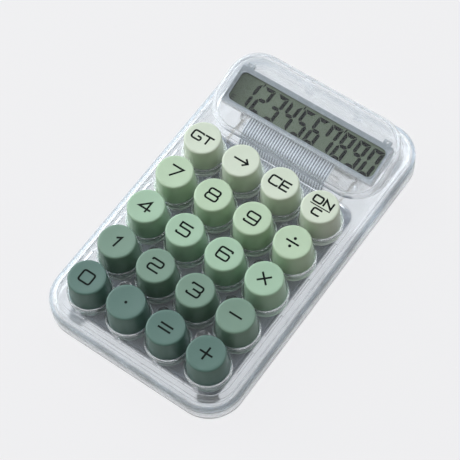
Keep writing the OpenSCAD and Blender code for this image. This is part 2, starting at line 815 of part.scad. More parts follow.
module coil_spring(r0, r1, h) {
    n = coil_turns * coil_steps;
    rings = [
        for (i = [0 : n])
            coil_ring(360 * i / coil_steps, r0 + (r1 - r0) * i / n, wire_r + (h - 2 * wire_r) * i / n)
    ];
    points = [for (ring = rings) for (p = ring) p];
    sides = [
        for (i = [0 : n - 1], k = [0 : wire_sides - 1])
            let (a = i * wire_sides, j = (k + 1) % wire_sides)
            [a + j, a + wire_sides + j, a + wire_sides + k, a + k]
    ];
    start = [for (k = [wire_sides - 1 : -1 : 0]) k];
    finish = [for (k = [0 : wire_sides - 1]) n * wire_sides + k];
    polyhedron(points, concat([start], sides, [finish]), convexity = 8);
}

module battery_spring() {
    color("#c9ccd0") {
        contact_plate(-bay_half);
        along_cell(-bay_half + contact_t - wire_r / 5) coil_spring(coil_foot_r, coil_tip_r, spring_l);
    }
}

module battery_plus_contact() {
    color("#c9ccd0") {
        contact_plate(bay_half - contact_t);
        along_cell(bay_half - contact_t - pip_h) cylinder(r = plus_pip_r, h = pip_h + eps);
    }
}

// ---------- fasteners and feet ----------

module screw(shank_r, head_r, head_h, seat_z, top_z) {
    drive_w = head_r * 0.32;
    drive_l = head_r * 1.2;
    difference() {
        union() {
            tube(shank_r, seat_z - eps, top_z);
            tube(head_r, seat_z - head_h, seat_z);
        }
        for (a = [0, 90]) rotate([0, 0, a])
            translate([-drive_l / 2, -drive_w / 2, seat_z - head_h - cut])
                cube([drive_l, drive_w, cut + head_h * 0.55]);
    }
}

module case_screws() {
    color("#b9bcc0") at_points(CASE_SCREWS)
        screw(screw_r, screw_head_r, screw_head_h, post_top_z - well_roof_t, field_under_z - 1.4);
}

module pcb_screws() {
    color("#b9bcc0") at_points(PCB_SCREWS)
        screw(pcb_screw_r, pcb_head_r, pcb_head_h, pcb_z, pcb_screw_top_z);
}

module rubber_feet() {
    color("#cfd4da") for (x = [-1, 1], y = [-1, 1])
        translate([x * foot_x, y * foot_y, 0]) rotate_extrude() {
            square([foot_r - foot_edge_r, foot_edge_r + eps]);
            translate([0, foot_edge_r]) square([foot_r, floor_z + foot_seat - foot_edge_r]);
            intersection() {
                translate([foot_r - foot_edge_r, foot_edge_r]) circle(foot_edge_r);
                square([foot_r, foot_edge_r + eps]);
            }
        }
}

// ---------- keycaps ----------

module keycap_shape() {
    inner_r = key_base_r - key_skirt_t;
    crown_z = key_top_z - key_crown_t;
    edge_x = dish_r;
    difference() {
        rotate_extrude() {
            polygon([
                [0, key_bottom_z], [key_base_r, key_bottom_z], [key_base_r, collar_z],
                [key_top_r, key_top_z - key_edge_r], [edge_x, key_top_z - key_edge_r],
                [edge_x, key_top_z], [0, key_top_z]
            ]);
            intersection() {
                translate([edge_x, key_top_z - key_edge_r]) circle(key_edge_r);
                translate([edge_x - eps, key_top_z - key_edge_r - eps])
                    square([key_edge_r + eps, key_edge_r + eps]);
            }
            translate([key_base_r - eps, key_bottom_z]) square([flange_reach + eps, flange_t]);
        }
        rotate_extrude() polygon([
            [plunger_r, key_bottom_z - cut], [inner_r, key_bottom_z - cut],
            [inner_r, collar_z], [key_top_r - key_skirt_t, crown_z], [plunger_r, crown_z]
        ]);
        // shallow dish in the top face
        if (key_dish > 0)
            rotate_extrude() intersection() {
                translate([0, key_top_z - key_dish + dish_ball_r]) circle(dish_ball_r, $fn = 1440);
                translate([0, key_top_z - key_dish]) square([dish_r, key_dish + eps]);
            }
        // notch that runs on the case's guide rib
        translate([-guide_w / 2 - guide_gap, -key_base_r - flange_reach - cut, key_bottom_z - cut])
            cube([guide_w + 2 * guide_gap, flange_reach + cut - 0.05, flange_t + 2 * cut]);
    }
    tube(plunger_r, dome_top_z + pad_gap, key_bottom_z + eps);
}

module keycap(i) {
    color(ROW_COLOURS[floor(i / key_cols)]) translate(key_at(i)) keycap_shape();
}

// ---------- nodes ----------

top_case();
bottom_case();
battery_cover();
lcd_frame();
lcd_glass();
lcd_reflector();
ribbon();
main_pcb();
driver_chip();
capacitors();
dome_mat();
battery();
battery_spring();
battery_plus_contact();
case_screws();
pcb_screws();
rubber_feet();
for (i = [0 : len(KEY_NODES) - 1])
    keycap(i);
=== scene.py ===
# %% [markdown]
# # A clear desk calculator
# The object is a pocket-sized desk calculator in a see-through case. Twenty round keys stand in
# collars, a tilted display sits on a raised island, and the board, the rubber sheet, the ribbon and
# the cell show through the plastic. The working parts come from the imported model, which is loaded
# first and never moved. Every piece made here takes its place from that model.

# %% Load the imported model
import math

import bmesh
import bpy
from mathutils import Matrix, Quaternion, Vector


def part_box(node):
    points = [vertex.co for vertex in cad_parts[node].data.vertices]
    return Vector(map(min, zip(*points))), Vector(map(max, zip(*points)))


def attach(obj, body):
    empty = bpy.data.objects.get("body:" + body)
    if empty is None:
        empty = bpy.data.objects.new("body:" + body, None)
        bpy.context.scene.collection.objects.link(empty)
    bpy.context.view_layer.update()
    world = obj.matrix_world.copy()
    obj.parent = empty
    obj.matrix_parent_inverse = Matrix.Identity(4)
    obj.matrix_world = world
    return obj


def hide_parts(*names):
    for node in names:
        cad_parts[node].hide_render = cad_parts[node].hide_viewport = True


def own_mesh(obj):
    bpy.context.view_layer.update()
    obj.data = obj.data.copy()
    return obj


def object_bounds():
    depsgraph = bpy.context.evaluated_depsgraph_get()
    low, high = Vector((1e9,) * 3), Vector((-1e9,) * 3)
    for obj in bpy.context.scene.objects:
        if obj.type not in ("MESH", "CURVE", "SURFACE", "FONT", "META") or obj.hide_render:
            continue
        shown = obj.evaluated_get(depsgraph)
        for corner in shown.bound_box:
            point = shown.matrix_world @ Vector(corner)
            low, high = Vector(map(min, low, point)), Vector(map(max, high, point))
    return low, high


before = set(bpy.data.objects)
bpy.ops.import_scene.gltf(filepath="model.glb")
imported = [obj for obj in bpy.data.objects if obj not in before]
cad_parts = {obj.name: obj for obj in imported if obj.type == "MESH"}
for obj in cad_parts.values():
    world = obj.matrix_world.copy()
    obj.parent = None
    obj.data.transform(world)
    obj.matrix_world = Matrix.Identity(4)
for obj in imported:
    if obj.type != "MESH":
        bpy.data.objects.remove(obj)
cad_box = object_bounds()
mm = 0.001
print("size in mm:", [round((b - a) / mm, 2) for a, b in zip(*cad_box)])

# %% [markdown]
# ## Helpers for materials
# A material here is a small tree of nodes. Paint charts and screens name colours as sRGB hex
# values, but light adds up in linear values, so one function turns hex to linear. A second adds
# a node with its settings and its links. Two more start a material and end it with its shader.

# %% Colours, nodes and materials
def linear(code, share=1.0):
    """An sRGB hex colour as linear red, green, blue and an alpha of 1, dimmed to a share of itself."""
    parts = [int(code[i:i + 2], 16) / 255 for i in (1, 3, 5)]
    return [share * (c / 12.92 if c <= 0.04045 else ((c + 0.055) / 1.055) ** 2.4) for c in parts] + [1.0]


def add(tree, kind, inputs=None, **settings):
    """Adds a shader node. settings are its own properties. inputs are values, sockets to link, or
    nodes, which are linked by their first output in use."""
    node = tree.nodes.new("ShaderNode" + kind)
    for name, value in settings.items():
        setattr(node, name, value)
    for name, value in (inputs or {}).items():
        if isinstance(value, bpy.types.Node):
            value = next(socket for socket in value.outputs if socket.enabled)
        if isinstance(value, bpy.types.NodeSocket):
            tree.links.new(value, node.inputs[name])
        else:
            node.inputs[name].default_value = value
    return node


def new_material(name):
    """An empty material, its tree, and the coordinates on the piece that its patterns follow."""
    made = bpy.data.materials.new(name)
    made.use_nodes = True
    made.node_tree.nodes.clear()
    return made, made.node_tree, add(made.node_tree, "TexCoord").outputs["Object"]


def finished(made, shader):
    """Ends a material with its last shader."""
    add(made.node_tree, "OutputMaterial", {"Surface": shader})
    return made


def per_mm(size):
    """Noise scale whose features are about size millimetres wide, in a scene measured in metres."""
    return 1 / (size * mm)


print("mid grey #808080 is", round(linear("#808080")[0], 4), "in linear light")

# %% [markdown]
# ## One grain for a whole finish
# On most moulded, plated and printed faces one fine unevenness does three things at once: it
# shifts the tone a little, makes some spots glossier than others and, if it is deep enough, bends
# the highlights. So one noise drives all three, and each real finish says only its own values.

# %% Grained finishes
def shades(code, share):
    """A colour with a darker one before it, for a finish that isn't quite even."""
    return [linear(code, share), linear(code)]


def grained(name, tones, grain, detail, rough, relief, others):
    """A finish with one noise, whose features are grain mm wide. tones holds one colour or two,
    rough the least and most roughness, relief the strength and depth in mm of the grain or None,
    and others the rest of the shader's values."""
    made, tree, place = new_material(name)
    noise = add(tree, "TexNoise", {"Vector": place, "Scale": per_mm(grain), "Detail": detail})
    spots = add(tree, "MapRange", {"Value": noise, "To Min": rough[0], "To Max": rough[1]})
    values = {"Base Color": tones[0], "Roughness": spots}
    if len(tones) > 1:
        values["Base Color"] = add(tree, "Mix", {"Factor": noise, "A": tones[0], "B": tones[1]},
                                   data_type="RGBA")
    if relief:
        values["Normal"] = add(tree, "Bump", {"Height": noise, "Strength": relief[0],
                                              "Distance": relief[1] * mm})
    return finished(made, add(tree, "BsdfPrincipled", values | others))


print("a grain of 0.3 mm has a noise scale of", round(per_mm(0.3)))

# %% [markdown]
# ## Clear polycarbonate
# Both shells and the cell cover are injection-moulded clear polycarbonate, finely etched in the
# mould. It mirrors a bright edge wherever it turns and carries a faint milky haze. The real IOR
# is 1.58. A lower 1.5 is used, because it keeps the bent edge lines as thin as on real thin walls.
# Lamps can't be traced through it cheaply, so shadow rays pass straight through, a little dimmed.

# %% Clear polycarbonate
def clear_polycarbonate(name, tint, haze, roughness, window=None):
    """Moulded clear plastic. haze is the share of light that the bulk scatters, roughness that of
    the finely etched faces. window gives the corners of a stretch that is polished clear instead."""
    made, tree, place = new_material(name)
    flow = add(tree, "TexNoise", {"Vector": place, "Scale": per_mm(9), "Detail": 2.0})
    etched = add(tree, "MapRange", {"Value": flow, "To Min": roughness * 0.7, "To Max": roughness * 1.3})
    polish, milky = etched, haze
    sink = add(tree, "Bump", {"Height": flow, "Strength": 0.15, "Distance": 0.03 * mm})
    if window:
        parts = add(tree, "SeparateXYZ", {"Vector": place})
        inside = 1.0
        for axis, low, high in zip("XY", *window):
            for edge, beyond in ((low, low - mm), (high, high + mm)):
                near = add(tree, "MapRange", {"Value": parts.outputs[axis], "From Min": beyond,
                                              "From Max": edge}, interpolation_type="SMOOTHSTEP")
                inside = add(tree, "Math", {0: inside, 1: near}, operation="MULTIPLY")
        milky = add(tree, "MapRange", {"Value": inside, "To Min": haze, "To Max": 0.0})
        clean = add(tree, "MapRange", {"Value": inside, "To Min": 1.0, "To Max": 0.15})
        polish = add(tree, "Math", {0: polish, 1: clean}, operation="MULTIPLY")
    plastic = add(tree, "BsdfPrincipled", {"Base Color": linear(tint), "IOR": 1.5, "Roughness": polish,
                                           "Transmission Weight": 1.0, "Normal": sink})
    milk = add(tree, "BsdfDiffuse", {"Color": linear("#f0f2f3")})
    body = add(tree, "MixShader", {"Fac": milky, 1: plastic, 2: milk})
    open_way = add(tree, "BsdfTransparent", {"Color": linear("#f1f2f3")})
    shadow = add(tree, "LightPath").outputs["Is Shadow Ray"]
    return finished(made, add(tree, "MixShader", {"Fac": shadow, 1: body, 2: open_way}))


shell_plastic = clear_polycarbonate("clear polycarbonate", "#f5f7f9", 0.08, 0.17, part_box("lcd_glass"))
cover_plastic = clear_polycarbonate("clear polycarbonate, matt inside", "#f8f9f9", 0.08, 0.22)
print("made", shell_plastic.name, "and", cover_plastic.name)

# %% [markdown]
# ## The shells and the cover
# The two shells and the cover already have their true walls, collars, slots, bosses and ribs in the
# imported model, so they stay as they are and only take the plastic. Modelling them again by hand
# would risk walls that no longer meet their screws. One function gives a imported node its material.

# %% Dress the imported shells
def dress(node, made):
    """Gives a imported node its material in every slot."""
    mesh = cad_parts[node].data
    mesh.materials.clear()
    mesh.materials.append(made)


dress("top_case", shell_plastic)
dress("bottom_case", shell_plastic)
dress("battery_cover", cover_plastic)
print("top shell faces:", len(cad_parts["top_case"].data.polygons))

# %% [markdown]
# ## Building meshes
# Most of the small pieces are one of three shapes. A turned piece is an outline spun about an
# upright axis. A strip is a flat stroke of even width that follows a path, like ink or a track.
# A plate is a flat outline, perhaps with holes, given a thickness. Each has one function, and each
# ends as one closed mesh whose creases stay sharp and whose curves shade smoothly.

# %% Turned pieces
crease = math.radians(32)
weld = 0.002 * mm


def finish_mesh(name, points, faces, made, slot, body, replaced=()):
    """Makes one piece from points in metres: welded, with its faces turned outwards, riding on its body."""
    mesh = bpy.data.meshes.new(name)
    mesh.from_pydata(points, [], faces)
    work = bmesh.new()
    work.from_mesh(mesh)
    bmesh.ops.remove_doubles(work, verts=work.verts, dist=weld)
    bmesh.ops.recalc_face_normals(work, faces=work.faces)
    work.to_mesh(mesh)
    work.free()
    mesh.validate()
    mesh.materials.append(made)
    piece = bpy.data.objects.new(name, mesh)
    bpy.context.scene.collection.objects.link(piece)
    mesh.shade_smooth()
    mesh.set_sharp_from_angle(angle=crease)
    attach(piece, body)
    if replaced:
        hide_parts(*replaced)
    return piece


def turned(profile, place, steps, reach=None):
    """Points and faces of an outline of (radius, height) in mm, spun about an axis through place.
    reach(angle, radius) gives another radius where the piece isn't quite round."""
    points, rings = [], []
    for radius, height in profile:
        count = 1 if radius == 0 else steps
        rings.append(range(len(points), len(points) + count))
        for i in range(count):
            angle = 2 * math.pi * i / steps
            r = reach(angle, radius) if reach else radius
            points.append(place @ Vector((r * math.cos(angle), r * math.sin(angle), height)))
    faces = []
    for low, high in zip(rings, rings[1:]):
        for i in range(steps):
            j = (i + 1) % steps
            corners = [low[i % len(low)], low[j % len(low)], high[j % len(high)], high[i % len(high)]]
            faces.append(list(dict.fromkeys(corners)))
    return points, faces


def at(x, y, z):
    """Places millimetre shapes at a point given in metres."""
    return Matrix.Translation((x, y, z)) @ Matrix.Scale(mm, 4)


def arc(centre, radius, start, stop, steps):
    """Points on a circle from one angle to another, in degrees."""
    angles = [math.radians(start + (stop - start) * i / steps) for i in range(steps + 1)]
    return [(centre[0] + radius * math.cos(a), centre[1] + radius * math.sin(a)) for a in angles]


print("creases sharper than", round(math.degrees(crease)), "degrees stay sharp")

# %% [markdown]
# ## Keycap plastic
# The caps are moulded ABS in five greens, one to a row, from pale pistachio at the top to dark
# sage at the front. The mould was spark-eroded, so the faces are satin: a broad soft highlight
# and a grain too fine to see as dots. Grain of 0.25 mm stands for the real 0.05 mm one.

# %% Spark-eroded ABS in five greens
def satin_abs(name, code):
    """Moulded ABS with a satin, spark-eroded face, and clouds of tone far wider than its grain."""
    made, tree, place = new_material(name)
    grain = add(tree, "TexNoise", {"Vector": place, "Scale": per_mm(0.25), "Detail": 2.0})
    cloud = add(tree, "TexNoise", {"Vector": place, "Scale": per_mm(4), "Detail": 3.0})
    tone = add(tree, "Mix", {"Factor": cloud, "A": linear(code, 0.93), "B": linear(code)}, data_type="RGBA")
    rough = add(tree, "MapRange", {"Value": grain, "To Min": 0.36, "To Max": 0.5})
    bump = add(tree, "Bump", {"Height": grain, "Strength": 0.25, "Distance": 0.01 * mm})
    return finished(made, add(tree, "BsdfPrincipled", {
        "Base Color": tone, "Roughness": rough, "Normal": bump, "IOR": 1.53}))


row_colours = ["#d0dac9", "#b7ceb2", "#a1c0a7", "#749181", "#56766e"]
row_plastics = [satin_abs(f"satin ABS, row {i + 1}", c) for i, c in enumerate(row_colours)]
print("cap colours:", row_colours)

# %% [markdown]
# ## The keycaps
# A cap is a slightly tapered drum with a dished top, a rounded rim, a flange that keeps it in its
# collar and a plunger that meets the rubber dome. A cylinder with a bevel would give the rim
# but not the dish or the flange, so each cap is turned from one outline, with a notch in the
# flange where the case's guide rib runs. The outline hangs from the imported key's own top and
# bottom, so a cap can't drift from the part that it stands for.

# %% Keycaps
key_rows = [
    ["gt", "back", "ce", "on_c"],
    ["7", "8", "9", "divide"],
    ["4", "5", "6", "multiply"],
    ["1", "2", "3", "minus"],
    ["0", "point", "equals", "plus"],
]
top_r, base_r, rim_r = 6.9, 7.4, 0.7
dish, dish_r, dish_steps = 0.2, 6.2, 6
cap_h, collar_rise = 14.3, 9.5
flange_r, flange_t = 8.2, 1.0
skirt_t, crown_t, plunger_r = 1.2, 1.4, 2.4
notch_w, notch_gap = 2.2, 0.05
turn_steps = 120


def dish_z(r):
    """Height of the dished face against the rim, in mm."""
    return -dish * (1 - min(r / dish_r, 1) ** 2)


def key_place(name):
    """Middle of a packed key's top, in metres."""
    low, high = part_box("key_" + name)
    return Vector(((low.x + high.x) / 2, (low.y + high.y) / 2, high.z))


def flange_reach(angle, radius):
    """The flange's radius, which drops back to the skirt where the notch is."""
    in_notch = radius == flange_r and math.sin(angle) < 0 and abs(math.cos(angle)) * radius < notch_w / 2
    return base_r + notch_gap if in_notch else radius


def make_cap(name, plastic, slot):
    """One cap, from the middle of its face over the rim, down to the flange and up the plunger."""
    middle = key_place(name)
    plunger_end = (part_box("key_" + name)[0].z - middle.z) / mm
    inner_r = base_r - skirt_t
    face = [(r, dish_z(r)) for r in (dish_r * i / dish_steps for i in range(dish_steps + 1))]
    rim = arc((top_r - rim_r, -rim_r), rim_r, 90, 3, 8)[1:]
    outside = [(base_r, -collar_rise), (base_r, flange_t - cap_h), (flange_r, flange_t - cap_h),
               (flange_r, -cap_h)]
    inside = [(inner_r, -cap_h), (inner_r, -collar_rise), (top_r - skirt_t, -crown_t),
              (plunger_r, -crown_t), (plunger_r, plunger_end), (0, plunger_end)]
    points, faces = turned(face + rim + outside + inside, at(*middle), turn_steps, flange_reach)
    return finish_mesh("cap_" + name, points, faces, plastic, slot, "key_" + name, ["key_" + name])


for number, names in enumerate(key_rows):
    for name in names:
        make_cap(name, row_plastics[number], f"keycap_row_{number + 1}")
print("caps:", sum(len(names) for names in key_rows))

# %% [markdown]
# ## Strips and plates
# A strip is drawn as a pen path: its corners are softened into arcs where a pen would round them,
# the path is cut into short steps, and each step gets a left and a right edge. The height comes from
# a function, so ink can follow a dish and a track can follow a bent film. A plate is a filled
# outline with holes, which Blender's own two-dimensional curves fill cleanly.

# %% Soft corners and short steps
corner_share = 0.48


def soften(path, radius, closed, steps=6):
    """Rounds the corners of a pen path. No corner takes more of a side than corner_share."""
    if radius <= 0:
        return [Vector(p) for p in path]
    made = []
    count = len(path)
    for i, p in enumerate(path):
        here = Vector(p)
        if not closed and i in (0, count - 1):
            made.append(here)
            continue
        back, on = Vector(path[i - 1]) - here, Vector(path[(i + 1) % count]) - here
        cut = min(radius, corner_share * back.length, corner_share * on.length)
        a, b = here + back.normalized() * cut, here + on.normalized() * cut
        made += [a.lerp(here, t).lerp(here.lerp(b, t), t) for t in (k / steps for k in range(steps + 1))]
    return made


def cut_short(path, step, closed):
    """Adds points so that no step of the path is longer than step."""
    made = []
    stops = len(path) if closed else len(path) - 1
    for i in range(stops):
        a, b = path[i], path[(i + 1) % len(path)]
        pieces = max(1, math.ceil((b - a).length / step))
        made += [a.lerp(b, k / pieces) for k in range(pieces)]
    return made if closed else made + [path[-1]]


print("an elbow softens to", len(soften([(0, 0), (1, 0), (1, 1)], 0.2, False)), "points")

# %% Strips
shortest, sharpest = 1e-6, 0.35


def strip(path, width, low, high, height=None, closed=False):
    """Points and faces of a flat stroke along a path in mm, from low to high above what it lies on,
    which height(x, y) gives. A mitre at a corner isn't drawn out past what sharpest allows."""
    count = len(path)
    points, faces = [], []
    for i, p in enumerate(path):
        before = path[i - 1] if closed or i > 0 else p
        after = path[(i + 1) % count] if closed or i < count - 1 else p
        way_in, way_out = p - before, after - p
        way_in = (way_in if way_in.length > shortest else way_out).normalized()
        way_out = (way_out if way_out.length > shortest else way_in).normalized()
        middle = way_in + way_out
        middle = middle.normalized() if middle.length > shortest else way_in
        side = Vector((-middle.y, middle.x)) * (width / 2 / max(sharpest, middle.dot(way_in)))
        for edge in (p + side, p - side):
            base = height(edge.x, edge.y) if height else 0.0
            points += [(edge.x, edge.y, base + low), (edge.x, edge.y, base + high)]
    for i in range(count if closed else count - 1):
        a, b = 4 * i, 4 * ((i + 1) % count)
        faces += [(a + 1, b + 1, b + 3, a + 3), (a, a + 2, b + 2, b),
                  (a, b, b + 1, a + 1), (a + 2, a + 3, b + 3, b + 2)]
    if not closed:
        last = 4 * (count - 1)
        faces += [(0, 1, 3, 2), (last, last + 2, last + 3, last + 1)]
    return points, faces


def joined(shapes):
    """Several (points, faces) as one."""
    points, faces = [], []
    for more, sides in shapes:
        start = len(points)
        points += more
        faces += [tuple(start + i for i in side) for side in sides]
    return points, faces


def placed(shape, place):
    """A shape in mm, moved to its place in the scene by a matrix."""
    return [place @ Vector(p) for p in shape[0]], shape[1]


straight = [Vector((0, 0)), Vector((1, 0))]
print("a straight strip has", len(strip(straight, 0.5, 0, 0.1)[1]), "faces")


# %% Plates
def plate(outlines, low, high):
    """Points and faces of a flat plate: the first outline is its edge and the rest are holes."""
    curve = bpy.data.curves.new("outline", "CURVE")
    curve.dimensions, curve.fill_mode = "2D", "BOTH"
    curve.extrude = (high - low) / 2
    for outline in outlines:
        spline = curve.splines.new("POLY")
        spline.points.add(len(outline) - 1)
        spline.points.foreach_set("co", [v for x, y in outline for v in (x, y, 0, 1)])
        spline.use_cyclic_u = True
    shape = bpy.data.objects.new("outline", curve)
    mesh = shape.to_mesh()
    middle = (low + high) / 2
    points = [(v.co.x, v.co.y, v.co.z + middle) for v in mesh.vertices]
    faces = [tuple(p.vertices) for p in mesh.polygons]
    shape.to_mesh_clear()
    bpy.data.objects.remove(shape)
    bpy.data.curves.remove(curve)
    return points, faces


def round_box(half_x, half_y, radius, steps=8):
    """Outline of a rectangle with round corners, about its middle."""
    corners = [(1, 1, 0), (-1, 1, 90), (-1, -1, 180), (1, -1, 270)]
    return [p for sx, sy, turn in corners
            for p in arc((sx * (half_x - radius), sy * (half_y - radius)), radius, turn, turn + 90, steps)]


print("a 1 x 1 plate has", len(plate([round_box(0.5, 0.5, 0.1)], 0, 0.1)[1]), "faces")

# %% [markdown]
# ## The legends
# The signs are pad-printed in a green-black ink, in a wide squared hand about 0.7 mm
# thick. A font would bring its own shapes, and a picture would blur, so each sign is a few pen
# paths in half-widths and half-heights. The ink is a real layer, a few hundredths thick, that lies
# on the dish of its cap and rides on it.

# %% Pen paths
HOOK = 0.66
SIGNS = {
    "0": [("loop", [(-1, -1), (1, -1), (1, 1), (-1, 1)])],
    "1": [("line", [(-0.42, 0.52), (0.3, 1.0), (0.02, -1.05)], 0)],
    "2": [("line", [(-1, HOOK), (-1, 1), (1, 1), (1, 0), (-1, 0), (-1, -1), (1.05, -1)])],
    "3": [("line", [(-1, HOOK), (-1, 1), (1, 1), (1, 0.02), (-0.45, 0.02)]),
          ("line", [(0.35, -0.02), (1, -0.02), (1, -1), (-1, -1), (-1, -HOOK)])],
    "4": [("line", [(0.42, -1.05), (0.42, 1.0), (-1, -0.42), (1.1, -0.42)], 0)],
    "5": [("line", [(1, 1), (-1, 1), (-1, 0.2)], 0),
          ("line", [(-1.1, 0.2), (1, 0.2), (1, -1), (-1, -1), (-1, -HOOK)])],
    "6": [("line", [(1, HOOK), (1, 1), (-1, 1), (-1, -1), (1, -1), (1, 0.12), (-0.9, 0.12)])],
    "7": [("line", [(-1, 1), (1.02, 1), (-0.35, -1.05)], 0)],
    "8": [("loop", [(-0.92, 0.04), (0.92, 0.04), (0.92, 1), (-0.92, 1)]),
          ("loop", [(-1, -1), (1, -1), (1, 0.04), (-1, 0.04)])],
    "9": [("line", [(-1, -HOOK), (-1, -1), (1, -1), (1, 1), (-1, 1), (-1, -0.12), (0.9, -0.12)])],
    "C": [("line", [(1, HOOK), (1, 1), (-1, 1), (-1, -1), (1, -1), (1, -HOOK)])],
    "E": [("line", [(1, 1), (-1, 1), (-1, -1), (1, -1)], 0), ("line", [(-0.88, 0), (0.9, 0)], 0)],
    "G": [("line", [(1, HOOK), (1, 1), (-1, 1), (-1, -1), (1, -1), (1, -0.1), (0.1, -0.1)])],
    "N": [("line", [(-1, -1.1), (-1, 1), (1, -1), (1, 1.1)], 0)],
    "T": [("line", [(-1, 1), (1, 1)], 0), ("line", [(0, 0.9), (0, -1.1)], 0)],
    "arrow": [("line", [(-1, 0), (0.96, 0)], 0), ("line", [(0.44, 0.52), (1, 0), (0.44, -0.52)], 0)],
    "times": [("line", [(-1, 1), (1, -1)], 0), ("line", [(-1, -1), (1, 1)], 0)],
    "bar": [("line", [(-1, 0), (1, 0)], 0)],
    "upright": [("line", [(0, -1), (0, 1)], 0)],
}
pen, pen_step = 0.72, 0.9
ink_low, ink_high = -0.03, 0.03


def on_dish(x, y):
    """Height of a cap's face at a point, for ink to follow."""
    return dish_z(math.hypot(x, y))


def written(sign, half_w, half_h, x=0.0, y=0.0, radius=0.95, width=pen):
    """The strips of one sign, centred at x, y on a cap."""
    made = []
    for kind, path, *given in SIGNS[sign]:
        closed = kind == "loop"
        spread = [(x + px * half_w, y + py * half_h) for px, py in path]
        line = cut_short(soften(spread, given[0] if given else radius, closed), pen_step, closed)
        made.append(strip(line, width, ink_low, ink_high, on_dish, closed))
    return made


def dot(x, y, radius):
    """A printed dot, flat at the height of the dish under its middle."""
    ring = arc((x, y), radius, 0, 360, 24)[:-1]
    base = on_dish(x, y)
    return [plate([ring], base + ink_low, base + ink_high)]


LEGENDS = {
    "gt": written("G", 1.9, 1.65, -2.25) + written("T", 1.95, 1.65, 2.25),
    "back": written("arrow", 3.0, 3.0),
    "ce": written("C", 1.85, 1.75, -2.25) + written("E", 1.7, 1.75, 2.3),
    "on_c": (written("0", 1.7, 1.3, -2.1, 2.2, 0.7) + written("N", 1.55, 1.35, 2.2, 2.2)
             + written("bar", 4.1, 1, 0.1, -0.15, width=0.42) + written("C", 1.5, 1.25, 0.0, -2.4, 0.7)),
    "divide": written("bar", 2.65, 1) + dot(0, 1.75, 0.58) + dot(0, -1.75, 0.58),
    "multiply": written("times", 1.95, 1.85),
    "minus": written("bar", 2.6, 1),
    "point": dot(0, 0, 0.55),
    "equals": written("bar", 2.6, 1, 0, 0.9) + written("bar", 2.6, 1, 0, -0.9),
    "plus": written("bar", 2.6, 1) + written("upright", 1, 2.6),
}
for digit in "0123456789":
    LEGENDS[digit] = written(digit, 2.35, 2.2)
print("signs drawn:", len(LEGENDS))

# %% [markdown]
# ## Pad-printing ink
# The ink has two parts that cure to a dense, dark and fairly matt layer. Its shine is turned well
# down, because a thin black layer that mirrors the studio would read as grey.

# %% Print the legends
legend_ink = grained("pad-printing ink", [linear("#0e1512")], 0.6, 2.0, (0.5, 0.62), (0.2, 0.005),
                     {"IOR": 1.5, "Specular IOR Level": 0.1})
for number, names in enumerate(key_rows):
    for name in names:
        shape = placed(joined(LEGENDS[name]), at(*key_place(name)))
        finish_mesh("legend_" + name, *shape, legend_ink, f"keycap_row_{number + 1}", "key_" + name)
print("legends made:", len(LEGENDS))

# %% [markdown]
# ## The display's own axes
# The display leans back on the island, so its pieces are drawn flat, in millimetres, and then
# tilted together. The lean isn't typed in: the foil behind the glass is a plain slab, and the
# direction that its largest face looks in gives the tilt. Its middle gives the place.

# %% Find the slope
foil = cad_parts["lcd_reflector"].data
foil_face = max(foil.polygons, key=lambda p: p.area * (p.normal.z > 0))
tilt = math.atan2(-foil_face.normal.y, foil_face.normal.z)
foil_low, foil_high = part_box("lcd_reflector")
foil_under_slope, foil_behind_middle = 4.75, 1.4
slope = (Matrix.Translation((foil_low + foil_high) / 2) @ Matrix.Rotation(tilt, 4, "X")
         @ Matrix.Scale(mm, 4) @ Matrix.Translation((0, -foil_behind_middle, foil_under_slope)))
print("display tilt:", round(math.degrees(tilt), 2), "degrees; middle:",
      [round(v / mm, 2) for v in slope.translation])

# %% [markdown]
# ## The display frame
# The grey frame that holds the glass is moulded ABS: a flat lip, a bevel that slopes in to the
# window with mitred corners, and a small bead round the opening that catches the light. One
# section is carried round a rectangle whose corners go from nearly square outside to round
# inside, which gives the mitres. Two ears at the back sit on pins under the island.

# %% Display frame
frame_half, frame_r = (33.0, 7.85), 0.25
window_half, window_r = (31.7, 6.0), 2.2
frame_top, frame_h, lip_t, rim_t = -1.55, 4.0, 1.0, 0.6
frame_shift = 0.3
bead, bead_at = 0.22, (0.9, frame_top - 0.52)


def section_ring(inset, height):
    """One ring of the frame's section. inset runs from 0 at the outside to 1 at the window."""
    half_x, half_y = (outer + (inner - outer) * inset for outer, inner in zip(frame_half, window_half))
    radius = frame_r + (window_r - frame_r) * inset
    return [(x, y + frame_shift, height) for x, y in round_box(half_x, half_y, radius)]


def swept(rings):
    """Points and faces of closed rings joined in order, the last one to the first."""
    count = len(rings[0])
    points = [p for ring in rings for p in ring]
    faces = []
    for a in range(len(rings)):
        b = (a + 1) % len(rings)
        for i in range(count):
            j = (i + 1) % count
            faces.append((a * count + i, a * count + j, b * count + j, b * count + i))
    return points, faces


rim_share = rim_t / (frame_half[1] - window_half[1])
# Each point of the section is the share of the way in to the window, and a height.
section = ([(0, frame_top - frame_h), (0, frame_top - 0.12), (0.06, frame_top), (0.26, frame_top),
            (0.72, frame_top - 0.55)] + arc(bead_at, bead / 2, 200, -40, 6)
           + [(1, frame_top - 0.75), (1, frame_top - lip_t), (rim_share, frame_top - lip_t),
              (rim_share, frame_top - frame_h)])
bezel_shape = swept([section_ring(inset, z) for inset, z in section])

ear_x, ear_w, ear_l, ear_t, ear_hole = 30.0, 3.2, 1.7, 0.8, 0.6
ear_y = frame_half[1] + frame_shift + ear_l / 2
ears = []
for x in (-ear_x, ear_x):
    outline = [(x + dx, ear_y + dy) for dx, dy in round_box(ear_w / 2, ear_l / 2, 0.3)]
    eye = arc((x, ear_y), ear_hole, 0, 360, 24)[:-1]
    ears.append(plate([outline, eye], frame_top - ear_t, frame_top))

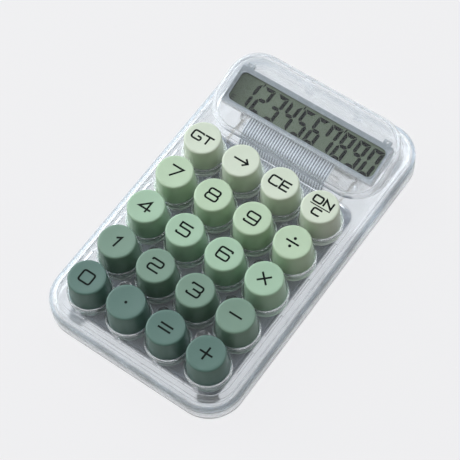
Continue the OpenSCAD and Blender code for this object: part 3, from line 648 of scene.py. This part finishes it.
# ABS from a polished mould is an even mid grey with a clear but soft shine.
frame_plastic = grained("grey moulded ABS", shades("#8f9598", 0.88), 2, 3.0, (0.2, 0.32), None,
                        {"IOR": 1.53})
finish_mesh("display_frame", *placed(joined([bezel_shape] + ears), slope), frame_plastic,
            "frame_plastic", "case", ["lcd_frame"])
print("frame section points:", len(section))

# %% [markdown]
# ## The display cell
# The cell is two glass plates with a polarising film in front and a foil behind. The lower plate
# stops short at the front, and the ledge that this leaves under the upper one takes the ribbon's
# contacts. From above, film and foil read as one olive grey with a satin gloss, so one opaque film
# stands for both. Towards the left end it is darkened by painted shade, the frame's shadow.

# %% Glass plates and front film
plate_half, plate_t, plate_r, ledge = (32.3, 7.15), 1.0, 0.3, 2.2
film_z, film_t, film_inset = frame_top - lip_t, 0.12, 0.2


def slab(half_x, low_y, high_y, low, high):
    """A flat plate of the cell, from low_y to high_y and from low to high."""
    middle = (low_y + high_y) / 2 + frame_shift
    outline = [(x, y + middle) for x, y in round_box(half_x, (high_y - low_y) / 2, plate_r)]
    return plate([outline], low, high)


plates = joined([
    slab(plate_half[0], -plate_half[1], plate_half[1], film_z - plate_t, film_z - film_t),
    slab(plate_half[0], ledge - plate_half[1], plate_half[1], film_z - 2 * plate_t, film_z - plate_t),
])
film_half = [half - film_inset for half in plate_half]
front_film = slab(film_half[0], -film_half[1], film_half[1], film_z - film_t, film_z)


def polarising_film(name, light, dark):
    """Anti-glare polariser over a transflective cell: olive grey and satin, darkened towards the left end
    by painted shade, the frame's shadow.
    """
    made, tree, place = new_material(name)
    parts = add(tree, "SeparateXYZ", {"Vector": place})
    # Painted shade: the tone goes from light to dark towards the film's left end, where the frame's shadow
    # falls.
    left_end = -plate_half[0] * mm
    across = add(tree, "MapRange", {"Value": parts.outputs["X"], "From Min": left_end,
                                    "From Max": left_end * 0.55}, interpolation_type="SMOOTHSTEP")
    grain = add(tree, "TexNoise", {"Vector": place, "Scale": per_mm(0.3), "Detail": 2.0})
    tone = add(tree, "Mix", {"Factor": across, "A": linear(dark), "B": linear(light)}, data_type="RGBA")
    speckle = add(tree, "Mix", {"Factor": 0.06, "A": tone, "B": grain.outputs["Color"]},
                  data_type="RGBA", blend_type="MULTIPLY")
    rough = add(tree, "MapRange", {"Value": grain, "To Min": 0.22, "To Max": 0.34})
    return finished(made, add(tree, "BsdfPrincipled", {
        "Base Color": speckle, "Roughness": rough, "IOR": 1.49, "Specular IOR Level": 0.2}))


# Soda-lime glass has a greenish edge. The foil behind it leaves little of it to see through.
cell_glass = grained("soda-lime display glass", [linear("#aebfb2")], 1.5, 3.0, (0.04, 0.12), None,
                     {"IOR": 1.52, "Transmission Weight": 0.35})
finish_mesh("display_glass", *placed(plates, slope), cell_glass, "lcd_cell", "case", ["lcd_glass"])
# The film's second, darker colour is the painted shade of the frame at its left end.
finish_mesh("display_film", *placed(front_film, slope),
            polarising_film("anti-glare polariser", "#5f6858", "#434b3e"), "lcd_cell", "case")
print("plates are", 2 * plate_half[0], "by", 2 * plate_half[1], "mm")

# %% [markdown]
# ## The lit segments
# A lit segment is liquid crystal that has turned dark under the film. A picture of figures would
# blur close up, so each segment is a real shape: seven to a figure, mitred at their ends, leaning
# a little, and standing a hair proud of the film so that the two faces never lie in one plane.

# %% Segments and marks
digit_w, digit_h, bar_t, gap = 2.4, 5.55, 1.4, 0.16
lean = math.tan(math.radians(5.5))
last_x, digit_pitch, figures_y = 28.5, 5.97, -0.3
segment_proud = 0.012


def segment(letter):
    """Outline of one of the seven segments, upright, about the figure's middle."""
    w, h, t = digit_w, digit_h, bar_t
    top = [(-w + gap, h), (w - gap, h), (w - gap - t, h - t), (-w + gap + t, h - t)]
    upper = [(-w, h - gap), (-w + t, h - gap - t), (-w + t, gap + t / 2), (-w + t / 2, gap),
             (-w, gap + t / 2)]
    middle = [(-w + gap + t / 2, 0), (-w + gap + t, t / 2), (w - gap - t, t / 2),
              (w - gap - t / 2, 0), (w - gap - t, -t / 2), (-w + gap + t, -t / 2)]
    shape, flip_x, flip_y = {
        "a": (top, 1, 1), "d": (top, 1, -1), "f": (upper, 1, 1), "e": (upper, 1, -1),
        "b": (upper, -1, 1), "c": (upper, -1, -1), "g": (middle, 1, 1)}[letter]
    return [(x * flip_x, y * flip_y) for x, y in shape]


LIT = {"0": "abcdef", "1": "bc", "2": "abged", "3": "abgcd", "4": "fgbc", "5": "afgcd",
       "6": "afgedc", "7": "abcf", "8": "abcdefg", "9": "abcdfg"}
segment_low, segment_high = film_z - film_t / 2, film_z + segment_proud
marks = []
for number, digit in enumerate("1234567890"):
    middle_x = last_x - (9 - number) * digit_pitch
    for letter in LIT[digit]:
        outline = [(middle_x + x + y * lean, y + figures_y) for x, y in segment(letter)]
        marks.append(plate([outline], segment_low, segment_high))

tick = [(-0.35, -0.8), (0.15, -0.8), (0.5, 0.6), (-0.1, 0.6)]
for number in (0, 3, 6):
    x0 = last_x - (9 - number) * digit_pitch + digit_pitch / 2 + digit_h * lean
    outline = [(x0 + x, digit_h + figures_y + y) for x, y in tick]
    marks.append(plate([outline], segment_low, segment_high))

point_x, point_y, point_r = last_x + 2.55, figures_y - digit_h + 0.35, 0.38
marks.append(plate([arc((point_x, point_y), point_r, 0, 360, 16)[:-1]], segment_low, segment_high))

error_x, error_y, error_half, error_pen = -29.8, -4.3, (0.7, 0.95), 0.34
for _, path, _ in SIGNS["E"]:
    line = [Vector((error_x + error_half[0] * x + y * lean, error_y + error_half[1] * y)) for x, y in path]
    marks.append(strip(line, error_pen, segment_low, segment_high))

# Lit crystal is green-black and has the gloss of the film over it.
lit_crystal = grained("lit crystal", [linear("#070a08"), linear("#0e120f")], 0.3, 2.0, (0.22, 0.34), None,
                      {"IOR": 1.49, "Specular IOR Level": 0.2})
finish_mesh("display_segments", *placed(joined(marks), slope), lit_crystal, "lcd_cell", "case")
print("segments and marks:", len(marks))

# %% [markdown]
# ## The ribbon
# A heat-seal ribbon joins the display to the board: a clear polyester film with graphite tracks
# printed on it, a little over a millimetre apart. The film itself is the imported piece. The tracks
# are drawn flat, as strips, and then bent along the film's own middle line. That line is read from
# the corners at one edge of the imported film, so the tracks follow every curve that the film takes.

# %% Ribbon film and its middle line
# Polyester film is clear, with a faint bloom that softens its shine.
dress("ribbon", grained("clear polyester film", [linear("#dde3e8")], 3, 2.0, (0.25, 0.4), None,
                        {"IOR": 1.57, "Transmission Weight": 0.25}))
ribbon_low, ribbon_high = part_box("ribbon")
corners = {(round(v.co.y / mm, 4), round(v.co.z / mm, 4))
           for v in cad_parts["ribbon"].data.vertices if v.co.x - ribbon_low.x < 0.01 * mm}
corners = [Vector(p) for p in sorted(corners, reverse=True)]
ribbon_t = min((corners[0] - p).length for p in corners[1:])
bow = []
while corners:
    upper = corners.pop(0)
    lower = min(corners, key=lambda p: (p - upper).length)
    corners.remove(lower)
    bow.append((upper + lower) / 2)
bow.sort(key=lambda p: -p.x)
print("ribbon:", round(sum((b - a).length for a, b in zip(bow, bow[1:])), 1), "mm long")


# %% Printed tracks
def bent(station, across, lift):
    """A point of the flat ribbon, in mm, lifted off the film's middle line at one of its points."""
    k = round(station)
    way = bow[min(k + 1, len(bow) - 1)] - bow[max(k - 1, 0)]
    spot = bow[k] + Vector((way.y, -way.x)).normalized() * lift
    return Vector((across, spot.x, spot.y)) * mm


track_count, track_w, track_t, track_edge = 34, 0.56, 0.02, 0.6
track_pitch = ((ribbon_high.x - ribbon_low.x) / mm - 2 * track_edge) / (track_count - 1)
tracks = []
for k in range(track_count):
    across = ribbon_low.x / mm + track_edge + k * track_pitch
    path = [Vector((station, across)) for station in range(len(bow))]
    flat, faces = strip(path, track_w, ribbon_t / 2, ribbon_t / 2 + track_t)
    tracks.append(([bent(*p) for p in flat], faces))

# Screen-printed graphite ink is a dark blue-grey, matt and slightly grainy.
graphite = grained("graphite ink", shades("#5a6170", 0.7), 0.3, 3.0, (0.5, 0.7), None, {"IOR": 1.5})
finish_mesh("ribbon_tracks", *joined(tracks), graphite, "ribbon_film", "case")
print(track_count, "tracks", round(track_pitch, 2), "mm apart")

# %% [markdown]
# ## The rubber sheet and its domes
# Under the keys lies one moulded silicone sheet with a dome for each key: a thin cone that buckles
# when the key goes down, and a pad on top that the plunger pushes. The sheet is a plate with round
# holes for the posts and screws. Each dome is turned and is a piece of its own, with its own mesh.

# %% Rubber sheet
def moulded_silicone(name, code):
    """Silicone rubber: a soft satin skin with a fine bloom and a trace of sheen along its edges."""
    return grained(name, shades(code, 0.85), 1.2, 4.0, (0.45, 0.65), (0.2, 0.02),
                   {"IOR": 1.41, "Sheen Weight": 0.15})


silicone = moulded_silicone("grey silicone", "#7c8591")
board_low, board_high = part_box("main_pcb")
mat_low, mat_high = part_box("dome_mat")
mat_t, mat_corner = 0.8, 4.0
mat_top = mat_low.z + mat_t * mm
mat_middle = (mat_low + mat_high) / 2
mat_half = (mat_high - mat_low) / 2 / mm
key_pitch = (key_place("7") - key_place("4")).y
keys_middle = key_place("4").lerp(key_place("multiply"), 0.5)
post_spots = [(x, y) for x in (-1, 1) for y in (-1.5, 1.5)]
screw_spots = [(0, -1.5), (0, 1.5)] + [(x, y) for x in (-1, 1) for y in (-0.5, 0.5)]
post_hole_r, screw_hole_r, pad_r, vent_gap = 3.5, 2.6, 2.4, 0.2


def hole(x, y, radius):
    """Outline of a round hole in the sheet, at a place given in metres."""
    return arc(((x - mat_middle.x) / mm, (y - mat_middle.y) / mm), radius, 0, 360, 36)[:-1]


outlines = [round_box(mat_half.x, mat_half.y, mat_corner)]
for spots, radius in ((post_spots, post_hole_r), (screw_spots, screw_hole_r)):
    outlines += [hole(x * key_pitch, keys_middle.y + y * key_pitch, radius) for x, y in spots]
for names in key_rows:
    outlines += [hole(*key_place(name).xy, pad_r + vent_gap) for name in names]
sheet_shape = placed(plate(outlines, 0, mat_t), at(mat_middle.x, mat_middle.y, mat_low.z))
finish_mesh("dome_sheet", *sheet_shape, silicone, "dome_rubber", "case", ["dome_mat"])
print("sheet:", len(outlines) - 1, "holes")

# %% Domes
dome_r, shoulder_r, dome_web, shoulder_drop, pad_round = 4.4, 2.9, 0.5, 0.8, 0.2
dome_h = (mat_high.z - mat_top) / mm
shoulder_z = dome_h - shoulder_drop
dome_outline = ([(0, dome_h), (pad_r - pad_round, dome_h)]
                + arc((pad_r - pad_round, dome_h - pad_round), pad_round, 60, 0, 3)
                + [(pad_r, shoulder_z + 0.15), (shoulder_r - 0.1, shoulder_z),
                   (shoulder_r + 0.08, shoulder_z - 0.12), (dome_r - 0.12, 0.1), (dome_r, 0),
                   (dome_r - dome_web, 0), (pad_r, shoulder_z - dome_web),
                   (0, shoulder_z - dome_web)])
for names in key_rows:
    for name in names:
        x, y = key_place(name).xy
        shape = turned(dome_outline, at(x, y, mat_top), 48)
        dome = finish_mesh("dome_" + name, *shape, silicone, "dome_rubber", "case")
        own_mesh(dome)

# %% [markdown]
# ## The board and what is on it
# The board is glass laminate under a coat of solder resist, whose weave just shows as a fine
# ripple. The chip is bare and sits under a drop of black epoxy. Two ceramic chips beside it smooth
# the supply: their ends are tinned and their middles are the ceramic's tan. All keep their packed
# shapes, which are already exact, and only the finishes are made here.

# %% Board, epoxy and ceramic
def laminate(name, code):
    """Solder resist over woven glass: the weave is a 0.9 mm ripple, coarser than the real 0.4 mm."""
    made, tree, place = new_material(name)
    weave_pitch = 0.9 * mm
    waves = [add(tree, "TexWave", {"Vector": place, "Scale": math.pi / 10 / weave_pitch},
                 bands_direction=way, wave_profile="SIN").outputs["Fac"] for way in ("X", "Y")]
    weave = add(tree, "Math", {0: waves[0], 1: waves[1]}, operation="MULTIPLY")
    cloud = add(tree, "TexNoise", {"Vector": place, "Scale": per_mm(6), "Detail": 3.0})
    tone = add(tree, "Mix", {"Factor": cloud, "A": linear(code, 0.8), "B": linear(code)}, data_type="RGBA")
    rough = add(tree, "MapRange", {"Value": weave, "To Min": 0.3, "To Max": 0.42})
    bump = add(tree, "Bump", {"Height": weave, "Strength": 0.3, "Distance": 0.02 * mm})
    return finished(made, add(tree, "BsdfPrincipled", {
        "Base Color": tone, "Roughness": rough, "Normal": bump, "IOR": 1.5}))


def tinned_ceramic(name, middle_x, body_half):
    """Fired ceramic with tinned ends: tin wherever a point is further than body_half from the middle."""
    made, tree, place = new_material(name)
    parts = add(tree, "SeparateXYZ", {"Vector": place})
    outward = add(tree, "Math", {0: parts.outputs["X"]}, operation="ABSOLUTE")
    outward = add(tree, "Math", {0: outward, 1: middle_x}, operation="SUBTRACT")
    outward = add(tree, "Math", {0: outward}, operation="ABSOLUTE")
    tin = add(tree, "Math", {0: outward, 1: body_half}, operation="GREATER_THAN")
    grain = add(tree, "TexNoise", {"Vector": place, "Scale": per_mm(0.2), "Detail": 2.0})
    clay = add(tree, "Mix", {"Factor": grain, "A": linear("#a4835a"), "B": linear("#b99668")},
               data_type="RGBA")
    tone = add(tree, "Mix", {"Factor": tin, "A": clay, "B": linear("#d6d4cf")}, data_type="RGBA")
    rough = add(tree, "MapRange", {"Value": grain, "To Min": 0.32, "To Max": 0.5})
    return finished(made, add(tree, "BsdfPrincipled", {
        "Base Color": tone, "Metallic": tin, "Roughness": rough, "IOR": 1.5}))


dress("main_pcb", laminate("solder resist on glass laminate", "#4f5b6b"))
# Epoxy is glossy where it flowed, with a faint orange-peel skin.
dress("driver_chip", grained("poured black epoxy", [linear("#141518"), linear("#1e1f22")], 1.1, 2.0,
                             (0.18, 0.34), (0.3, 0.04), {"IOR": 1.55}))
capacitor_x, ceramic_half = 3.0 * mm, 0.6 * mm
dress("capacitors", tinned_ceramic("tinned ceramic", capacitor_x, ceramic_half))
print("board is", [round(v / mm, 1) for v in board_high - board_low], "mm")

# %% [markdown]
# ## Copper under the board
# A keypad is wired as a grid: each row and each column of keys shares one track to the chip. The
# tracks are real strips, a little proud under the resist, because the board's underside can be
# seen close through the clear shell, and there a painted line would show no edge.

# %% Copper tracks under the board
copper_w, copper_low, copper_high, corner_cut = 0.5, -0.035, 0.01, 1.2
lane_gap, land_r = 0.8, 0.75
row_lane, row_start, row_turn = 3.4, 3, 5.2
column_lane, column_land = 4.4, 3.2
copper = []


def track(points):
    """A copper track under the board through points in mm, with its corners cut at 45 degrees."""
    line = soften([Vector(p) for p in points], corner_cut, False, 1)
    copper.append(strip(line, copper_w, copper_low, copper_high))


def land(x, y):
    """A round copper land, where a key's contact meets its track."""
    copper.append(plate([arc((x, y), land_r, 0, 360, 20)[:-1]], copper_low, copper_high))


chip_low, chip_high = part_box("driver_chip")
chip_x, chip_y = (chip_low + chip_high).xy / 2 / mm
chip_reach = (chip_high.x - chip_low.x) / mm / 2 - 0.6
rows_y = [key_place(names[0]).y / mm for names in key_rows]
columns_x = [key_place(name).x / mm for name in key_rows[0]]
for r, y in enumerate(rows_y):
    turn_x = columns_x[1] + row_turn + r * lane_gap
    end_y = chip_y + (2 - r) * lane_gap
    track([(columns_x[0] - row_start, y + row_lane), (turn_x, y + row_lane), (turn_x, end_y),
           (chip_x - chip_reach, end_y)])
    for x in columns_x[:2]:
        land(x, y + row_lane)
for x in columns_x:
    for y in rows_y:
        land(x - column_lane, y - column_land)
    track([(x - column_lane, rows_y[0] - column_land), (x - column_lane, rows_y[-1] - column_land)])
for k in range(6):
    x = chip_x + chip_reach - 1 + k * lane_gap
    bend_y, back_y = board_high.y / mm - 12 - k * lane_gap, board_high.y / mm - 2
    track([(x, chip_y + 2), (x, bend_y), (x + 4, bend_y + 4), (x + 4, back_y)])
finish_mesh("board_tracks", *placed(joined(copper), at(0, 0, board_low.z)),
            laminate("copper under solder resist", "#71808c"), "board_laminate", "case")
print("copper tracks and lands:", len(copper))

# %% [markdown]
# ## The cell and its contacts
# The cell is a deep-drawn steel can in a printed sleeve that shrinks over its edges. At one end the
# flat bottom shows and at the other the button. Two turned pieces make it, the bare can and the
# sleeve, because a real edge of film catches the light as no painted line does. The contacts are
# nickel-plated spring steel, and the screws are zinc-plated with a bluish passivation.

# %% Metals
def satin_metal(name, code, rough, grit):
    """A plated or rolled metal. grit is the size, in mm, of its fine wire-drawn or rolled marks."""
    return grained(name, shades(code, 0.82), grit, 4.0, rough, None, {"Metallic": 1.0})


nickel = satin_metal("nickel-plated spring steel", "#cfcbc2", (0.2, 0.34), 0.4)
zinc = satin_metal("zinc-plated steel", "#c3c9cf", (0.26, 0.42), 0.3)
foil_metal = satin_metal("satin aluminium foil", "#d9dad8", (0.35, 0.5), 0.6)
for node, metal in (("battery_spring", nickel), ("battery_plus_contact", nickel),
                    ("case_screws", zinc), ("pcb_screws", zinc), ("lcd_reflector", foil_metal)):
    dress(node, metal)
print("metals:", nickel.name, "and", zinc.name)

# %% The bare can
cell_low, cell_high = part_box("battery")
cell_middle = (cell_low + cell_high) / 2
cell_r = (cell_high.y - cell_low.y) / mm / 2
cell_l = (cell_high.x - cell_low.x) / mm
button_r, button_l, sleeve_t, edge_r, snug = 1.9, 1.0, 0.12, 0.5, 0.02
can_r = cell_r - sleeve_t
can_edge, sleeve_edge = can_r - edge_r, cell_r - edge_r
shoulder = cell_l - button_l
along_x = (Matrix.Translation((cell_low.x, cell_middle.y, cell_middle.z))
           @ Matrix.Rotation(math.radians(90), 4, "Y") @ Matrix.Scale(mm, 4))
can_outline = ([(0, 0.1), (2.6, 0.1), (2.9, 0), (can_edge, 0)]
               + arc((can_edge, edge_r), edge_r, -75, 0, 4)
               + arc((can_edge, shoulder - edge_r), edge_r, 0, 75, 4)
               + [(can_edge, shoulder), (button_r + 0.5, shoulder - 0.25), (button_r, shoulder - 0.1)]
               + arc((button_r - 0.3, cell_l - 0.3), 0.3, 0, 90, 4) + [(0, cell_l)])
finish_mesh("cell_can", *turned(can_outline, along_x, 72), nickel, "cell_jacket", "case", ["battery"])

print("can:", round(2 * can_r, 2), "mm thick")


# %% The printed sleeve
def printed_sleeve(name, start):
    """Printed shrink film: a dark green body and, past start, a pale band by the button end."""
    made, tree, place = new_material(name)
    parts = add(tree, "SeparateXYZ", {"Vector": place})
    band = add(tree, "Math", {0: parts.outputs["X"], 1: start}, operation="GREATER_THAN")
    shrink = add(tree, "TexNoise", {"Vector": place, "Scale": per_mm(2.2), "Detail": 3.0})
    body = add(tree, "Mix", {"Factor": shrink, "A": linear("#35523f"), "B": linear("#42644e")},
               data_type="RGBA")
    tone = add(tree, "Mix", {"Factor": band, "A": body, "B": linear("#c9cdbd")}, data_type="RGBA")
    rough = add(tree, "MapRange", {"Value": shrink, "To Min": 0.2, "To Max": 0.32})
    bump = add(tree, "Bump", {"Height": shrink, "Strength": 0.25, "Distance": 0.03 * mm})
    return finished(made, add(tree, "BsdfPrincipled", {
        "Base Color": tone, "Roughness": rough, "Normal": bump, "IOR": 1.5}))


band_l = 9.0
lip_r = can_r - 0.55
sleeve_outline = ([(lip_r, snug)] + arc((sleeve_edge, edge_r), edge_r, -90, 0, 5)
                  + arc((sleeve_edge, shoulder - edge_r), edge_r, 0, 90, 5)
                  + [(lip_r, shoulder - snug), (lip_r, shoulder - sleeve_t)]
                  + arc((can_edge, shoulder - edge_r), edge_r - snug, 75, 0, 4)
                  + arc((can_edge, edge_r), edge_r - snug, 0, -75, 4)
                  + [(lip_r, sleeve_t), (lip_r, snug)])
sleeve_print = printed_sleeve("printed shrink film", cell_high.x - (band_l + button_l) * mm)
finish_mesh("cell_sleeve", *turned(sleeve_outline, along_x, 72), sleeve_print, "cell_jacket", "case")
print("cell:", round(cell_l, 1), "mm long,", round(2 * cell_r, 1), "mm thick")

# %% [markdown]
# ## The feet
# Four feet are punched from a soft translucent rubber and pressed into shallow seats. The packed
# feet already have their seats and rounded edges, so they only need the rubber's matt skin.

# %% Feet
dress("rubber_feet", moulded_silicone("soft foot rubber", "#cdd2d7"))

# %% [markdown]
# ## Floor, light and camera
# A product like this is shown on a pale sweep under one large soft light from the left, with a
# weak fill from everywhere else, so that the clear edges and the cap rims catch the light and the
# sides facing the viewer fall into shade. The floor and the air give most of their own paleness to
# the camera, also through the plastic, which keeps the contact shadow faint and the case clear. To
# every other ray the floor is a plain pale card, and the air is a studio's walls.

# %% Floor
floor_tone, card_code = linear("#f1f1f3"), "#d2d1cd"
floor_half, glow_share = 2.0, 0.94


def open_view(tree):
    """1 on the camera's own rays and on those that came through the plastic, and 0 on all others."""
    rays = add(tree, "LightPath")
    return add(tree, "Math", {0: rays.outputs["Is Camera Ray"], 1: rays.outputs["Is Transmission Ray"]},
               operation="MAXIMUM")


def pale_card(name):
    """Matt card with a fine fibre, which glows evenly in the open view."""
    made, tree, place = new_material(name)
    fibre = add(tree, "TexNoise", {"Vector": place, "Scale": per_mm(3), "Detail": 2.0})
    tone = add(tree, "Mix", {"Factor": fibre, "A": linear(card_code, 0.99), "B": linear(card_code)},
               data_type="RGBA")
    card = add(tree, "BsdfDiffuse", {"Color": tone})
    glow = add(tree, "Emission", {"Color": floor_tone, "Strength": 1.0})
    share = add(tree, "Math", {0: open_view(tree), 1: glow_share}, operation="MULTIPLY")
    return finished(made, add(tree, "MixShader", {"Fac": share, 1: card, 2: glow}))


floor_corners = [(x * floor_half, y * floor_half, 0) for x, y in ((-1, -1), (1, -1), (1, 1), (-1, 1))]
floor_mesh = bpy.data.meshes.new("floor")
floor_mesh.from_pydata(floor_corners, [], [(0, 1, 2, 3)])
floor_mesh.materials.append(pale_card("pale card"))
floor = bpy.data.objects.new("floor", floor_mesh)
bpy.context.scene.collection.objects.link(floor)
print("floor:", 2 * floor_half, "m wide")

# %% Surroundings
world = bpy.data.worlds.new("studio")
bpy.context.scene.world = world
world.use_nodes = True
air = world.node_tree
air.nodes.clear()
direction = add(air, "SeparateXYZ", {"Vector": add(air, "TexCoord").outputs["Generated"]})
# The fill is a pale wall on the left that fades to a darker room on the right.
left = add(air, "MapRange", {"Value": direction.outputs["X"], "From Min": 0.7, "From Max": -1.0,
                             "To Min": 0.16, "To Max": 0.62}, interpolation_type="SMOOTHSTEP")
fill = add(air, "Background", {"Color": linear("#f9f4e9"), "Strength": left})
# What the gloss mirrors is a pale wall all round that darkens overhead.
wall = add(air, "MapRange", {"Value": direction.outputs["Z"], "From Min": 0.45, "From Max": 0.85,
                             "To Min": 0.85, "To Max": 0.05}, interpolation_type="SMOOTHSTEP")
mirrored = add(air, "Background", {"Color": linear("#f2f3f5"), "Strength": wall})
backdrop = add(air, "Background", {"Color": floor_tone, "Strength": 1.0})
glossy = add(air, "LightPath").outputs["Is Glossy Ray"]
room = add(air, "MixShader", {"Fac": glossy, 1: fill, 2: mirrored})
studio = add(air, "MixShader", {"Fac": open_view(air), 1: room, 2: backdrop})
add(air, "OutputWorld", {"Surface": studio})
print("surroundings:", len(air.nodes), "nodes")

# %% Lights
centre = (cad_box[0] + cad_box[1]) / 2


def looking(azimuth, elevation):
    """The direction of a compass azimuth, seen from above and counted from +Y, and an elevation."""
    a, e = math.radians(azimuth), math.radians(elevation)
    return Vector((math.sin(a) * math.cos(e), math.cos(a) * math.cos(e), math.sin(e)))


def soft_light(name, azimuth, elevation, distance, size, watts, tint):
    """A square soft light that looks at the object."""
    way = looking(azimuth, elevation)
    data = bpy.data.lights.new(name, "AREA")
    data.shape, data.size = "SQUARE", size
    data.energy, data.color = watts, linear(tint)[:3]
    lamp = bpy.data.objects.new(name, data)
    lamp.location = centre + way * distance
    lamp.rotation_mode = "QUATERNION"
    lamp.rotation_quaternion = (-way).to_track_quat("-Z", "Y")
    bpy.context.scene.collection.objects.link(lamp)


soft_light("key light", -85, 38, 1.0, 0.75, 8.5, "#f5fbff")
soft_light("back light", 5, 50, 1.2, 0.6, 5.7, "#f3f9ff")

# %% [markdown]
# ## Plain tones and long light paths
# The studio's white should stay white and the greens should stay as mixed, so the picture uses
# the standard display curve and not the filmic one that a new file starts with. At the case's rim
# light crosses many walls of plastic, and a path that is cut short there leaves a black spot, so
# paths may be long.

# %% Display curve and light paths
bpy.context.scene.view_settings.view_transform = "Standard"
bounces = 32
paths = bpy.context.scene.cycles
paths.max_bounces = paths.transmission_bounces = bounces
paths.glossy_bounces = paths.transparent_max_bounces = bounces // 2
print("display curve:", bpy.context.scene.view_settings.view_transform)

# %% [markdown]
# ## The camera
# A long lens from a little over half a metre flattens the object as product pictures do. It looks
# steeply down from the front right, and is rolled a little, so that the case lies on a diagonal.

# %% Camera
camera_data = bpy.data.cameras.new("camera")
camera_data.sensor_width, camera_data.lens = 36.0, 126.55
camera_data.clip_start, camera_data.clip_end = 0.01, 10
camera = bpy.data.objects.new("camera", camera_data)
bpy.context.scene.collection.objects.link(camera)
aim = Vector((2.597, -6.447, 20.0)) * mm
side_angle, height_angle, roll, distance = 40.893, 61.186, -6.032, 0.5706
away = looking(180 - side_angle, height_angle)
camera.location = aim + away * distance
camera.rotation_mode = "QUATERNION"
camera.rotation_quaternion = ((-away).to_track_quat("-Z", "Y")
                              @ Quaternion((0, 0, 1), math.radians(roll)))
bpy.context.scene.camera = camera
print("camera stands", round(distance, 3), "m away, turned", side_angle, "degrees to the right")
